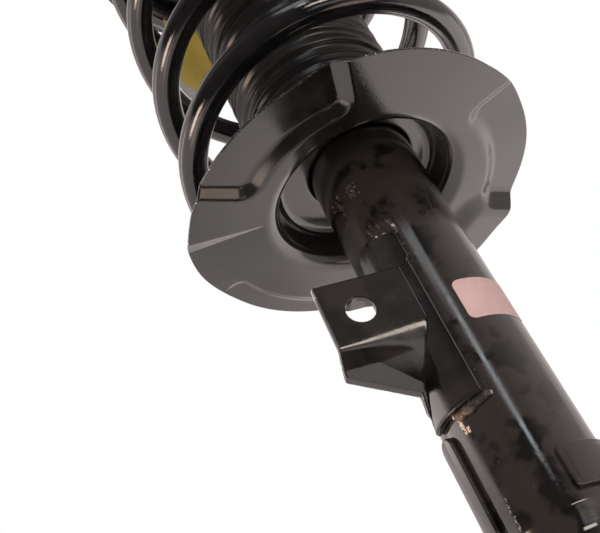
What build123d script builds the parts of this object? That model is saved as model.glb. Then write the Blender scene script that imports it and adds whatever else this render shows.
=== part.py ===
from build123d import *
import os
from math import atan2, cos, degrees, radians, sin, sqrt, tan

# Strut assembly: twin-tube damper, coil spring and top mount.
# Millimetres. Z runs up the piston rod, and Z = 0 is the shoulder that seats on the knuckle.
# The pieces are drawn with the link bracket's plate along +X and facing +Y. As they are
# written they are turned by FRONT_TURN, so that the plate faces the front, -Y.

# ---- fits and stock ---------------------------------------------------------------------
RUNNING_FIT = 0.05      # radial, between a sliding or turning pair
SEAT_FIT = 0.05         # radial, between pieces pushed or welded together
SOFT_GAP = 0.3          # between a soft piece and what it rests on
SHEET = 3.0             # stamped sheet of seat and brackets
FRONT_TURN = 180.0

# ---- damper tube ------------------------------------------------------------------------
TUBE_R = 25.0
TUBE_WALL = 2.5
TUBE_TOP = 262.0
SPIGOT_R = 22.5         # plug that enters the knuckle
SPIGOT_LENGTH = 62.0
SHOULDER_HEIGHT = 8.0
ROLLED_LIP = 2.0        # tube edge rolled over the seal
ROLLED_LIP_R = 18.0
BASE_CAP_THICKNESS = 5.0
BASE_CAP_DISH = 2.0

# ---- lower spring seat ------------------------------------------------------------------
SEAT_X = 3.0            # centre of the dish, off the rod axis
SEAT_Y = -2.0
SEAT_OPENING_R = 42.5
SEAT_FOLD = 5.0         # bend between the dish and the cup wall
SEAT_EDGE = 1.2         # sheared edge of the rim, bevelled from above
SEAT_BASE_Z = 176.0     # underside of the plain stretches
SEAT_LAND_RISE = 4.0    # lands that carry the end coil
SEAT_DROP = 3.5         # low stretch behind the tube
SEAT_SWEEP_UP = 4.0     # rise of the swept stretch at the rim, from nothing at its inner radius
SEAT_CUP_Z = 194.0      # underside of the cup floor
SEAT_CUP_DRAFT = 3.5
SEAT_STEP_WIDTH = 4.5   # radial width of a land's inner slope
SEAT_RAMP_DEG = 3.5     # turn taken by each radial step
SEAT_COLLAR_HEIGHT = 9.0
# Stretches round the dish: start and end in degrees, inner radius of the step, rim radius.
LAND_A = (19.5, 79.5, 55.5, 80.5)
PLAIN_AB = (79.5, 143.0, 57.5, 81.0)
LAND_B = (143.0, 199.0, 59.5, 82.5)
LOW_STRETCH = (200.0, 262.0, 57.5, 84.0)
LAND_C = (275.0, 324.0, 65.5, 83.5)
SWEPT_STRETCH = (326.0, 356.0, 50.0, 86.5)
PLAIN_A = (356.0, 379.5, 57.5, 84.5)

# ---- link bracket -----------------------------------------------------------------------
PLATE_INSET = 3.0       # the plate's face stands this far inside the tube's front
PLATE_REACH = 30.0      # past the tube's side
PLATE_BOTTOM = 85.5
PLATE_TOP = 115.0
LINK_HOLE_R = 6.0
LINK_HOLE_MARGIN = 15.0 # from the plate's free end
LINK_HOLE_Z = 99.5
FOLD_R = 3.5
FLANGE_ANGLE = 48.0     # below level
FLANGE_CORNER_Z = 76.0  # where the flange's free end turns in
FLANGE_FOOT_Z = 64.5    # where the flange's edge meets the skirt
BEND_EASE = 4.0         # softness of the hollow bend between flange and skirt
SKIRT_BOTTOM = 50.0
SKIRT_ANGLES = (-1.0, 60.0)
TAB_TOP = 138.0
TAB_ANGLES = (14.0, 60.0)
WELD_R = 2.4
BRACKET_STATIONS = 15   # points across the sheet in each of its outlines
FLANGE_STEPS = 6        # outlines over the flange's slanting edge

# ---- small pieces on the tube -----------------------------------------------------------
KEY_ANGLES = (-9.0, 11.0)
KEY_THICKNESS = 2.6
KEY_BOTTOM = 1.0
KEY_TOP = 43.0
KEY_CORNER_R = 2.0
PAD_ANGLES = (88.0, 152.0)
PAD_THICKNESS = 2.5
PAD_BOTTOM = 4.4
PAD_TOP = 20.3
PAD_CORNER_R = 1.2

# ---- coil spring ------------------------------------------------------------------------
WIRE_R = 7.0
SPRING_R = 72.5         # to the middle of the wire
SPRING_RISE = 230.375   # climb of the working turns
ACTIVE_TURNS = 4.23
LOWER_END_DEG = 45.0    # wire that lies on the lower seat's land
UPPER_END_DEG = 200.0   # dead coil under the upper seat
LIFT_OFF_DEG = 190.0    # where the wire leaves its land

# ---- piston, rod and valves ------------------------------------------------------------
TRAVEL = 140.0
ROD_R = 11.0
PRESSURE_WALL = 1.4
RESERVE_GAP = 2.6       # between the pressure tube and the spigot
PISTON_HEIGHT = 16.0
PISTON_STUD_R = 6.0
PISTON_NUT_AF = 19.0
PISTON_NUT_HEIGHT = 10.0
BAND_HEIGHT = 10.0
BAND_DEPTH = 1.1
REBOUND_STOP_CLEARANCE = 1.0
REBOUND_STOP_HEIGHT = 11.7
STOP_TO_PISTON = 12.0
GUIDE_HEIGHT = 14.0
GUIDE_SPIGOT = 6.0
BUSH_WALL = 1.5
SEAL_HEIGHT = 4.0
STRIKER_HEIGHT = 12.0
STRIKER_WALL = 1.8
STRIKER_TOP = 3.5
BASE_VALVE_FLANGE = 5.0
BASE_VALVE_HEIGHT = 12.0
VALVE_PORTS = 6
VALVE_PORT_R = 1.8

# ---- boot and bump stop -----------------------------------------------------------------
BOOT_R = 43.0
BOOT_WALL = 5.0
BOOT_PITCH = 10.0       # from crest to crest
BOOT_CREST = 2.4        # width of a crest
BOOT_DEPTH = 2.4        # from crest to valley
BOOT_NECK_R = 27.0
BUMP_STOP_R = 23.0
BUMP_STOP_WAIST_R = 18.5
BUMP_CUP_WALL = 2.0
BUMP_CUP_DEPTH = 10.0

# ---- upper spring seat, bearing and top mount -------------------------------------------
INSULATOR_THICKNESS = 5.0
UPPER_SHEET = 2.5
UPPER_SEAT_R = 83.0
UPPER_LIP = 7.0
UPPER_DOME_R = 50.0
UPPER_DOME_RISE = 15.0
UPPER_HOLE_R = 29.0
RACE_INNER_R = 31.0
RACE_OUTER_R = 43.0
RACE_HEIGHT = 4.5
RACE_GAP = 3.0
BALL_R = 3.2
BALLS = 16
MOUNT_PLATE = 3.0
MOUNT_STUD_PCD = 116.0
MOUNT_STUD_R = 4.0
MOUNT_STUD_LENGTH = 24.0
MOUNT_STUD_KNURL = 0.6  # the stud is thicker where it is pressed into the plate
MOUNT_STUD_HEAD = 3.0
MOUNT_STUD_NOSE = 1.2
MOUNT_STUDS = 3
MOUNT_BODY_R = 48.0
MOUNT_EAR_R = 12.0
MOUNT_CUP_R = 28.0
MOUNT_CUP_HEIGHT = 21.0
MOUNT_LIP_R = 21.0
SLEEVE_R = 12.5
SLEEVE_FLANGE_R = 18.0
ROD_STUD_R = 7.0
ROD_STUD_SPARE = 6.0
WASHER_R = 20.0
WASHER_THICKNESS = 3.0
ROD_NUT_AF = 22.0
ROD_NUT_HEIGHT = 12.0

# ---- sizes and heights that follow -------------------------------------------------------
BORE_R = SPIGOT_R - TUBE_WALL - RESERVE_GAP - PRESSURE_WALL
REBOUND_STOP_R = BORE_R - REBOUND_STOP_CLEARANCE
PLATE_FACE_Y = TUBE_R - PLATE_INSET
PLATE_END_X = TUBE_R + PLATE_REACH
LINK_HOLE_X = PLATE_END_X - LINK_HOLE_MARGIN
LAND_TOP = SEAT_BASE_Z + SEAT_LAND_RISE + SHEET
COIL_START_Z = LAND_TOP + SOFT_GAP + WIRE_R
COIL_END_Z = COIL_START_Z + SPRING_RISE
INSULATOR_Z = COIL_END_Z + WIRE_R + SOFT_GAP
UPPER_SEAT_Z = INSULATOR_Z + INSULATOR_THICKNESS
DOME_TOP = UPPER_SEAT_Z + UPPER_DOME_RISE + UPPER_SHEET
BALL_Z = DOME_TOP + RACE_HEIGHT + RACE_GAP / 2
MOUNT_Z = BALL_Z + RACE_GAP / 2 + RACE_HEIGHT
ROD_SHOULDER_Z = DOME_TOP - BUMP_CUP_WALL / 2
SLEEVE_Z = ROD_SHOULDER_Z + BUMP_CUP_WALL
SLEEVE_TOP = MOUNT_Z + MOUNT_CUP_HEIGHT + MOUNT_PLATE + 1.5
STRIKER_Z = TUBE_TOP + STRIKER_TOP
BUMP_STOP_Z = STRIKER_Z + TRAVEL + SOFT_GAP
SEAL_Z = TUBE_TOP - ROLLED_LIP - SEAL_HEIGHT
GUIDE_Z = SEAL_Z - GUIDE_HEIGHT
REBOUND_STOP_Z = GUIDE_Z - GUIDE_SPIGOT - SOFT_GAP - REBOUND_STOP_HEIGHT
PISTON_TOP = REBOUND_STOP_Z - STOP_TO_PISTON
PISTON_Z = PISTON_TOP - PISTON_HEIGHT
BASE_CAP_TOP = BASE_CAP_THICKNESS - SPIGOT_LENGTH
UPRIGHT = (Align.CENTER, Align.CENTER, Align.MIN)


# ---- shared shapes -----------------------------------------------------------------------
def disc(radius, low, high, x=0.0, y=0.0):
    """An upright cylinder between two heights."""
    return Pos(x, y, low) * Cylinder(radius, high - low, align=UPRIGHT)


def ring(outer, inner, low, high, x=0.0, y=0.0):
    """An upright plain ring between two heights."""
    return disc(outer, low, high, x, y) - disc(inner, low - 1, high + 1, x, y)


def turned(points, arc=360.0):
    """A turned solid from the corners (radius, height) of its half section."""
    corners = [(radius, 0, height) for radius, height in points]
    return revolve(make_face(Polyline(*corners, close=True)), Axis.Z, arc)


def hex_nut(across_flats, bore, low, high):
    """A hexagon nut with chamfered corners."""
    blank = Pos(0, 0, low) * extrude(RegularPolygon(across_flats / 2, 6, major_radius=False), high - low)
    corner = across_flats / sqrt(3)
    cone = turned([(0, low - 1), (across_flats / 2, low - 1), (across_flats / 2, low),
                   (corner + 0.2, low + 1.5), (corner + 0.2, high - 1.5),
                   (across_flats / 2, high), (0, high)])
    return (blank & cone) - disc(bore, low - 2, high + 2)


def wall_patch(inner, outer, start, end, low, high):
    """A piece of an upright round wall between two angles and two heights."""
    section = [(inner, low), (outer, low), (outer, high), (inner, high)]
    return Rot(0, 0, start) * turned(section, end - start)


def bead(radius, angle_from, angle_to, height, size):
    """A weld bead that follows the tube."""
    section = Pos(radius, 0, height) * (Rot(90, 0, 0) * Circle(size))
    return Rot(0, 0, angle_from) * revolve(section, Axis.Z, angle_to - angle_from)


# ---- damper tube -------------------------------------------------------------------------
def strut_tube():
    """Outer tube, necked down to the spigot and rolled over at the top."""
    neck = TUBE_R - SPIGOT_R
    bend = (SHOULDER_HEIGHT**2 / 4 + neck**2 / 4) / neck
    sag = bend - sqrt(bend**2 - SHOULDER_HEIGHT**2 / 16)
    middle = (TUBE_R - neck / 2, -SHOULDER_HEIGHT / 2)

    def at(r, z):
        return (r, 0, z)

    def skin(offset):
        """Outer (offset 0) or inner line of the tube, from the spigot end to the top."""
        return [
            Line(at(SPIGOT_R - offset, -SPIGOT_LENGTH), at(SPIGOT_R - offset, -SHOULDER_HEIGHT)),
            ThreePointArc(at(SPIGOT_R - offset, -SHOULDER_HEIGHT),
                          at(SPIGOT_R + sag - offset, -0.75 * SHOULDER_HEIGHT),
                          at(middle[0] - offset, middle[1])),
            ThreePointArc(at(middle[0] - offset, middle[1]),
                          at(TUBE_R - sag - offset, -0.25 * SHOULDER_HEIGHT),
                          at(TUBE_R - offset, 0)),
        ]

    outer = skin(0.0)
    inner = skin(TUBE_WALL)
    bore = TUBE_R - TUBE_WALL
    top = Polyline(at(TUBE_R, 0), at(TUBE_R, TUBE_TOP), at(ROLLED_LIP_R, TUBE_TOP),
                   at(ROLLED_LIP_R, TUBE_TOP - ROLLED_LIP), at(bore, TUBE_TOP - ROLLED_LIP), at(bore, 0))
    foot = Line(at(SPIGOT_R - TUBE_WALL, -SPIGOT_LENGTH), at(SPIGOT_R, -SPIGOT_LENGTH))
    return revolve(make_face(outer + [top] + inner + [foot]), Axis.Z)


def base_cap():
    """Dished disc that closes the spigot."""
    radius = SPIGOT_R - TUBE_WALL - SEAT_FIT
    cap = disc(radius, -SPIGOT_LENGTH, BASE_CAP_TOP)
    dish = radius**2 / (2 * BASE_CAP_DISH) + BASE_CAP_DISH / 2
    return cap - Pos(0, 0, -SPIGOT_LENGTH + BASE_CAP_DISH - dish) * Sphere(dish)


# ---- lower spring seat -------------------------------------------------------------------
def seat_stretches():
    """Stretches in order round the dish, each with the underside heights of its inner ring and outer
    band, and the radial width of the slope between them."""
    base = SEAT_BASE_Z
    land = SEAT_BASE_Z + SEAT_LAND_RISE
    sweep_width = SWEPT_STRETCH[3] - SWEPT_STRETCH[2] - SHEET
    return [
        (PLAIN_AB, base, base, SEAT_STEP_WIDTH),
        (LAND_B, base, land, SEAT_STEP_WIDTH),
        (LOW_STRETCH, base, base - SEAT_DROP, SEAT_STEP_WIDTH),
        (LAND_C, base, land, SEAT_STEP_WIDTH),
        (SWEPT_STRETCH, base, base + SEAT_SWEEP_UP, sweep_width),
        (PLAIN_A, base, base, SEAT_STEP_WIDTH),
        ((360.0 + LAND_A[0], 360.0 + LAND_A[1], *LAND_A[2:]), base, land, SEAT_STEP_WIDTH),
    ]


def seat_section(angle, stretch):
    """Closed section of the dish at an angle, from the cup wall to the rim."""
    (_, _, step_r, rim_r), inner_z, outer_z, width = stretch
    cup_r = SEAT_OPENING_R - SEAT_CUP_DRAFT
    over_r = cup_r + SHEET
    fold_r = SEAT_OPENING_R + SEAT_FOLD
    over_fold = SEAT_FOLD - SHEET / 2
    near = 0.3 * SEAT_FOLD
    points = [(cup_r, SEAT_CUP_Z), (SEAT_OPENING_R, inner_z + SEAT_FOLD),
              (SEAT_OPENING_R + near, inner_z + near), (fold_r, inner_z), (step_r, inner_z),
              (step_r + width, outer_z), (rim_r, outer_z),
              (rim_r, outer_z + SEAT_EDGE), (rim_r - SHEET, outer_z + SHEET),
              (step_r + width - SHEET / 2, outer_z + SHEET), (step_r - SHEET / 2, inner_z + SHEET),
              (over_r + over_fold, inner_z + SHEET), (over_r + 1.0, inner_z + SHEET + over_fold / 2),
              (over_r, SEAT_CUP_Z + SHEET), (cup_r, SEAT_CUP_Z + SHEET)]
    turn = radians(angle)
    return Wire.make_polygon([Vector(r * cos(turn), r * sin(turn), z) for r, z in points], close=True)


def lower_spring_seat():
    """Stamped dish with three raised lands, stepped round its cup and welded to the tube."""
    stretches = seat_stretches()
    half = SEAT_RAMP_DEG / 2
    dish = None
    for index, stretch in enumerate(stretches):
        start = stretch[0][0] + half
        end = stretch[0][1] - half
        stations = max(3, round((end - start) / 15.0) + 1)
        angles = [start + (end - start) * i / (stations - 1) for i in range(stations)]
        piece = Solid.make_loft([seat_section(a, stretch) for a in angles])
        following = stretches[(index + 1) % len(stretches)]
        wrap = 0.0 if index + 1 < len(stretches) else 360.0
        next_start = following[0][0] + half + wrap
        ramp = Solid.make_loft([seat_section(end, stretch), seat_section(next_start, following)])
        dish = piece + ramp if dish is None else dish + piece + ramp
    dish = Pos(SEAT_X, SEAT_Y, 0) * dish
    floor = disc(SEAT_OPENING_R - SEAT_CUP_DRAFT + 1.0, SEAT_CUP_Z, SEAT_CUP_Z + SHEET, SEAT_X, SEAT_Y)
    collar = disc(TUBE_R + SHEET, SEAT_CUP_Z, SEAT_CUP_Z + SHEET + SEAT_COLLAR_HEIGHT)
    return dish + floor + collar - disc(TUBE_R + SEAT_FIT, SEAT_CUP_Z - 5, SEAT_CUP_Z + 40)


# ---- link bracket ------------------------------------------------------------------------
def rounded_max(low, high, ease):
    """The larger of two values, with the corner between them rounded over."""
    lead = high - low
    if lead >= ease:
        return high
    if lead <= -ease:
        return low
    return low + (lead + ease) ** 2 / (4 * ease)


def sheet_line(skin_r, face_y, end_x, rear_deg, stations):
    """Points of one skin of the bracket's sheet at one height: round the tube, then out along the face."""
    angle_out = degrees(atan2(face_y, end_x)) if face_y > 0 else rear_deg
    last = max(angle_out, rear_deg)
    out = []
    for i in range(stations):
        share = i / (stations - 1)
        angle = radians(SKIRT_ANGLES[1] + (last - SKIRT_ANGLES[1]) * share)
        along = face_y / sin(angle) if sin(angle) > 0.02 and face_y > 0 else 0.0
        radius = rounded_max(skin_r, along, BEND_EASE)
        out.append((radius * cos(angle), radius * sin(angle)))
    return out


def bracket_section(height):
    """Closed outline of the bracket's sheet at one height."""
    slope = radians(FLANGE_ANGLE)
    drop = rounded_max(0.0, PLATE_BOTTOM - height, FOLD_R)
    lean = min(1.0, drop / FOLD_R)
    face_y = PLATE_FACE_Y - drop / tan(slope)
    thickness = SHEET * (1 - lean) + SHEET / sin(slope) * lean
    skirt_r = TUBE_R + SEAT_FIT + SHEET
    turn_in = (FLANGE_CORNER_Z - height) / (FLANGE_CORNER_Z - FLANGE_FOOT_Z)
    end_x = PLATE_END_X + (skirt_r - PLATE_END_X) * min(1.0, max(0.0, turn_in))
    outer = sheet_line(skirt_r, face_y, end_x, SKIRT_ANGLES[0], BRACKET_STATIONS)
    inner = sheet_line(TUBE_R + 2 * SEAT_FIT, face_y - thickness, end_x, SKIRT_ANGLES[0], BRACKET_STATIONS)
    return Wire.make_polygon([Vector(x, y, height) for x, y in outer + inner[::-1]], close=True)


def link_bracket():
    """Sheet bracket: upright plate, folded flange and a skirt that lie on the tube as one formed sheet."""
    turn_in = FLANGE_CORNER_Z - FLANGE_FOOT_Z
    levels = [SKIRT_BOTTOM, FLANGE_FOOT_Z - FOLD_R]
    levels += [FLANGE_FOOT_Z + turn_in * i / FLANGE_STEPS for i in range(FLANGE_STEPS + 1)]
    levels += [PLATE_BOTTOM + FOLD_R * i / 2 for i in range(-2, 3)]
    levels += [PLATE_TOP]
    sheet = Solid.make_loft([bracket_section(z) for z in levels], ruled=True)
    tab = wall_patch(TUBE_R + SEAT_FIT, TUBE_R + SEAT_FIT + SHEET, *TAB_ANGLES, PLATE_TOP - SHEET, TAB_TOP)
    hole = Pos(LINK_HOLE_X, 0, LINK_HOLE_Z) * (Rot(90, 0, 0) * Cylinder(LINK_HOLE_R, 80))
    return sheet + tab - hole


def weld_beads(bracket, seat):
    """Weld beads at the bracket's two ends and round the seat's collar."""
    lower = bead(TUBE_R + 1.4, SKIRT_ANGLES[0] + 8, SKIRT_ANGLES[1] - 2, SKIRT_BOTTOM - 1.6, WELD_R)
    upper = bead(TUBE_R + 1.4, TAB_ANGLES[0] + 6, TAB_ANGLES[1] - 4, TAB_TOP + 1.6, WELD_R)
    collar_top = SEAT_CUP_Z + SHEET + SEAT_COLLAR_HEIGHT
    collar = bead(TUBE_R + 1.2, 0, 360, collar_top + 1.0, WELD_R)
    tube = disc(TUBE_R + SEAT_FIT, 0, TUBE_TOP)
    beads = [lower - tube - bracket, upper - tube - bracket, collar - tube - seat]
    return Compound(children=[Solid(b.solids()[0].wrapped) for b in beads])


def locating_key():
    """Formed strip that lines the strut up with the slot of the knuckle clamp."""
    strip = wall_patch(TUBE_R + SEAT_FIT, TUBE_R + KEY_THICKNESS, *KEY_ANGLES, KEY_BOTTOM, KEY_TOP)
    corners = strip.edges().filter_by(lambda e: e.length < KEY_THICKNESS and e.center().Z > KEY_TOP - 1)
    return fillet(corners, KEY_CORNER_R)


def tube_pad():
    """Raised plain plate on the tube."""
    strip = wall_patch(TUBE_R + SEAT_FIT, TUBE_R + PAD_THICKNESS, *PAD_ANGLES, PAD_BOTTOM, PAD_TOP)
    corners = strip.edges().filter_by(lambda e: e.length < PAD_THICKNESS)
    return fillet(corners, PAD_CORNER_R)


# ---- inside the tube ---------------------------------------------------------------------
def pressure_tube():
    """Inner tube in which the piston runs."""
    return ring(BORE_R + PRESSURE_WALL, BORE_R, BASE_CAP_TOP + BASE_VALVE_FLANGE, GUIDE_Z)


def base_valve():
    """Foot valve between the pressure tube and the base cap."""
    step = BASE_CAP_TOP + BASE_VALVE_FLANGE
    body = turned([(0, BASE_CAP_TOP), (BORE_R + PRESSURE_WALL, BASE_CAP_TOP), (BORE_R + PRESSURE_WALL, step),
                   (BORE_R - SEAT_FIT, step), (BORE_R - SEAT_FIT, step + BASE_VALVE_HEIGHT),
                   (0, step + BASE_VALVE_HEIGHT)])
    ports = PolarLocations(BORE_R * 0.62, VALVE_PORTS) * Cylinder(VALVE_PORT_R, 400)
    return body - ports


def rod_guide():
    """Guide that closes the pressure tube and carries the rod bush."""
    bore = ROD_R + RUNNING_FIT + BUSH_WALL
    return turned([(bore, GUIDE_Z - GUIDE_SPIGOT), (BORE_R - SEAT_FIT, GUIDE_Z - GUIDE_SPIGOT),
                   (BORE_R - SEAT_FIT, GUIDE_Z), (TUBE_R - TUBE_WALL - SEAT_FIT, GUIDE_Z),
                   (TUBE_R - TUBE_WALL - SEAT_FIT, SEAL_Z), (bore, SEAL_Z)])


def guide_bush():
    """Lined bush in the guide."""
    outer = ROD_R + RUNNING_FIT + BUSH_WALL - SEAT_FIT
    return ring(outer, ROD_R + RUNNING_FIT, GUIDE_Z - GUIDE_SPIGOT + 1, SEAL_Z - 1)


def rod_seal():
    """Oil seal held under the rolled lip."""
    bore = TUBE_R - TUBE_WALL - SEAT_FIT
    return turned([(ROD_R + RUNNING_FIT, SEAL_Z), (bore, SEAL_Z), (bore, SEAL_Z + SEAL_HEIGHT),
                   (ROD_R + 4, SEAL_Z + SEAL_HEIGHT), (ROD_R + 1.5, SEAL_Z + SEAL_HEIGHT + 1.5),
                   (ROD_R + RUNNING_FIT, SEAL_Z + SEAL_HEIGHT + 1.5)])


def striker_cap():
    """Cap on the tube that the bump stop meets."""
    outer = TUBE_R + SEAT_FIT + STRIKER_WALL
    low = TUBE_TOP - STRIKER_HEIGHT
    cap = turned([(TUBE_R + SEAT_FIT, low), (outer, low), (outer, STRIKER_Z - 2), (outer - 2, STRIKER_Z),
                  (ROD_R + 2, STRIKER_Z), (ROD_R + 2, TUBE_TOP), (TUBE_R + SEAT_FIT, TUBE_TOP)])
    return cap


# ---- spring, boot and bump stop ----------------------------------------------------------
def coil_spring():
    """Coil spring: its end lies level on a land, then the working turns, and a level end coil."""
    section = Pos(SPRING_R, 0, COIL_START_Z) * (Rot(90, 0, 0) * Circle(WIRE_R))
    lower = Rot(0, 0, LIFT_OFF_DEG - LOWER_END_DEG) * revolve(section, Axis.Z, LOWER_END_DEG)
    path = Helix(SPRING_RISE / ACTIVE_TURNS, SPRING_RISE, SPRING_R, center=(0, 0, COIL_START_Z))
    working = Rot(0, 0, LIFT_OFF_DEG) * sweep(section, path, is_frenet=True)
    top = Pos(0, 0, SPRING_RISE) * revolve(section, Axis.Z, UPPER_END_DEG)
    upper = Rot(0, 0, LIFT_OFF_DEG + 360.0 * ACTIVE_TURNS) * top
    return Pos(SEAT_X / 2, SEAT_Y / 2, 0) * (lower + working + upper)


def dust_boot():
    """Ringed boot round the rod and the tube end, from the seat's cup to the upper seat."""
    low = SEAT_CUP_Z + SHEET + SOFT_GAP
    high = DOME_TOP - UPPER_SHEET - SOFT_GAP
    inner = BOOT_R - BOOT_WALL
    valley = BOOT_R - BOOT_DEPTH
    count = int((high - low - BOOT_PITCH) / BOOT_PITCH)
    first = low + (high - low - (count - 1) * BOOT_PITCH) / 2
    half = BOOT_CREST / 2
    skin = []
    for index in range(count):
        crest = first + index * BOOT_PITCH
        skin += [(valley, crest - half - BOOT_DEPTH / 2), (BOOT_R, crest - half),
                 (BOOT_R, crest + half), (valley, crest + half + BOOT_DEPTH / 2)]
    return turned([(inner, low), (valley, low)] + skin + [(valley, high), (BOOT_NECK_R, high),
                   (BOOT_NECK_R, high - BOOT_WALL), (inner, high - BOOT_WALL)])


def bump_stop():
    """Foam stop with two waists."""
    top = ROD_SHOULDER_Z - SOFT_GAP
    inner = ROD_R + SOFT_GAP
    third = (top - BUMP_STOP_Z) / 3
    outer = BUMP_STOP_R
    return turned([(inner, BUMP_STOP_Z), (outer - 5, BUMP_STOP_Z), (outer - 1.5, BUMP_STOP_Z + third * 0.55),
                   (BUMP_STOP_WAIST_R, BUMP_STOP_Z + third), (outer, BUMP_STOP_Z + third * 1.5),
                   (BUMP_STOP_WAIST_R, BUMP_STOP_Z + third * 2), (outer, BUMP_STOP_Z + third * 2.4),
                   (outer, top), (inner, top)])


def bump_stop_cup():
    """Sheet cup that holds the bump stop under the mount."""
    outer = BUMP_STOP_R + SOFT_GAP + BUMP_CUP_WALL
    low = ROD_SHOULDER_Z - BUMP_CUP_DEPTH
    bore = ROD_STUD_R + SEAT_FIT
    return turned([(bore, ROD_SHOULDER_Z), (outer - BUMP_CUP_WALL, ROD_SHOULDER_Z),
                   (outer - BUMP_CUP_WALL, low), (outer, low), (outer, SLEEVE_Z), (bore, SLEEVE_Z)])


# ---- rod and piston ----------------------------------------------------------------------
def piston_rod():
    """Rod with a stud at each end."""
    foot = PISTON_Z - PISTON_NUT_HEIGHT - 2
    top = SLEEVE_TOP + WASHER_THICKNESS + ROD_NUT_HEIGHT + ROD_STUD_SPARE
    return turned([(0, foot), (PISTON_STUD_R - 1, foot), (PISTON_STUD_R, foot + 1),
                   (PISTON_STUD_R, PISTON_TOP), (ROD_R, PISTON_TOP), (ROD_R, ROD_SHOULDER_Z),
                   (ROD_STUD_R, ROD_SHOULDER_Z),
                   (ROD_STUD_R, top - 1.5), (ROD_STUD_R - 1.5, top), (0, top)])


def piston():
    """Piston with a groove for its band and ports through it."""
    groove = (PISTON_HEIGHT - BAND_HEIGHT) / 2
    full = BORE_R - 0.15
    root = BORE_R - BAND_DEPTH - SEAT_FIT
    bore = PISTON_STUD_R + SEAT_FIT
    body = turned([(bore, PISTON_Z), (full, PISTON_Z), (full, PISTON_Z + groove),
                   (root, PISTON_Z + groove), (root, PISTON_TOP - groove), (full, PISTON_TOP - groove),
                   (full, PISTON_TOP), (bore, PISTON_TOP)])
    ports = PolarLocations(BORE_R * 0.66, VALVE_PORTS) * (Pos(0, 0, PISTON_Z) * Cylinder(VALVE_PORT_R, 80))
    return body - ports


def piston_band():
    """Sliding band in the piston's groove."""
    groove = (PISTON_HEIGHT - BAND_HEIGHT) / 2 + SEAT_FIT
    return ring(BORE_R - RUNNING_FIT, BORE_R - BAND_DEPTH, PISTON_Z + groove, PISTON_TOP - groove)


def rebound_stop():
    """Ring on the rod that ends the rebound stroke."""
    high = REBOUND_STOP_Z + REBOUND_STOP_HEIGHT
    return turned([(ROD_R + SEAT_FIT, REBOUND_STOP_Z), (REBOUND_STOP_R - 1, REBOUND_STOP_Z),
                   (REBOUND_STOP_R, REBOUND_STOP_Z + 1), (REBOUND_STOP_R, high), (ROD_R + SEAT_FIT, high)])


# ---- upper seat and bearing --------------------------------------------------------------
def upper_spring_seat():
    """Pressed upper seat with a dome that carries the bearing."""
    z = UPPER_SEAT_Z
    t = UPPER_SHEET
    dome = z + UPPER_DOME_RISE
    outer = UPPER_SEAT_R + t
    return turned([(UPPER_HOLE_R, dome), (UPPER_DOME_R - 5, dome), (UPPER_DOME_R, z), (UPPER_SEAT_R, z),
                   (UPPER_SEAT_R, z - UPPER_LIP), (outer, z - UPPER_LIP), (outer, z + t - 1),
                   (outer - 1, z + t), (UPPER_DOME_R + t, z + t), (UPPER_DOME_R - 5 + t, dome + t),
                   (UPPER_HOLE_R, dome + t)])


def upper_insulator():
    """Rubber ring between the top coil and the upper seat."""
    inner = SPRING_R - WIRE_R - 6
    return ring(UPPER_SEAT_R - SOFT_GAP, inner, INSULATOR_Z, UPPER_SEAT_Z)


def bearing_race(low):
    """One race of the strut bearing, with its ball groove."""
    race = ring(RACE_OUTER_R, RACE_INNER_R, low, low + RACE_HEIGHT)
    middle = (RACE_OUTER_R + RACE_INNER_R) / 2
    return race - Pos(0, 0, BALL_Z) * Torus(middle, BALL_R + RUNNING_FIT)


def bearing_balls():
    """The balls, a separate solid each."""
    middle = (RACE_OUTER_R + RACE_INNER_R) / 2
    spots = PolarLocations(middle, BALLS)
    return Compound(children=[Pos(0, 0, BALL_Z) * spot * Sphere(BALL_R) for spot in spots])


# ---- top mount ---------------------------------------------------------------------------
def mount_plate():
    """Pressed plate with three ears, and the cup that holds the rubber."""
    outline = Circle(MOUNT_BODY_R)
    for spot in PolarLocations(MOUNT_STUD_PCD / 2, MOUNT_STUDS):
        outline += make_hull((Circle(MOUNT_BODY_R * 0.62).edges() + (spot * Circle(MOUNT_EAR_R)).edges()))
    plate = Pos(0, 0, MOUNT_Z) * extrude(outline, MOUNT_PLATE)
    top = MOUNT_Z + MOUNT_CUP_HEIGHT
    cup = turned([(MOUNT_CUP_R - MOUNT_PLATE, MOUNT_Z), (MOUNT_CUP_R, MOUNT_Z),
                  (MOUNT_CUP_R, top + MOUNT_PLATE - 1), (MOUNT_CUP_R - 1, top + MOUNT_PLATE),
                  (MOUNT_LIP_R, top + MOUNT_PLATE), (MOUNT_LIP_R, top), (MOUNT_CUP_R - MOUNT_PLATE, top)])
    hole = disc(MOUNT_STUD_R + MOUNT_STUD_KNURL + SEAT_FIT, MOUNT_Z - 5, top + 20)
    holes = PolarLocations(MOUNT_STUD_PCD / 2, MOUNT_STUDS) * hole
    return plate + cup - disc(MOUNT_CUP_R - MOUNT_PLATE, MOUNT_Z - 1, top) - holes


def mount_studs():
    """Three studs pressed into the plate, heads below it."""
    plate_top = MOUNT_Z + MOUNT_PLATE
    tip = plate_top + MOUNT_STUD_LENGTH
    knurl = MOUNT_STUD_R + MOUNT_STUD_KNURL
    head = MOUNT_STUD_R + 3
    stud = turned([(0, MOUNT_Z - MOUNT_STUD_HEAD), (head, MOUNT_Z - MOUNT_STUD_HEAD), (head, MOUNT_Z),
                   (knurl, MOUNT_Z), (knurl, plate_top), (MOUNT_STUD_R, plate_top),
                   (MOUNT_STUD_R, tip - MOUNT_STUD_NOSE), (MOUNT_STUD_R - MOUNT_STUD_NOSE, tip), (0, tip)])
    return Compound(children=[spot * stud for spot in PolarLocations(MOUNT_STUD_PCD / 2, MOUNT_STUDS)])


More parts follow.
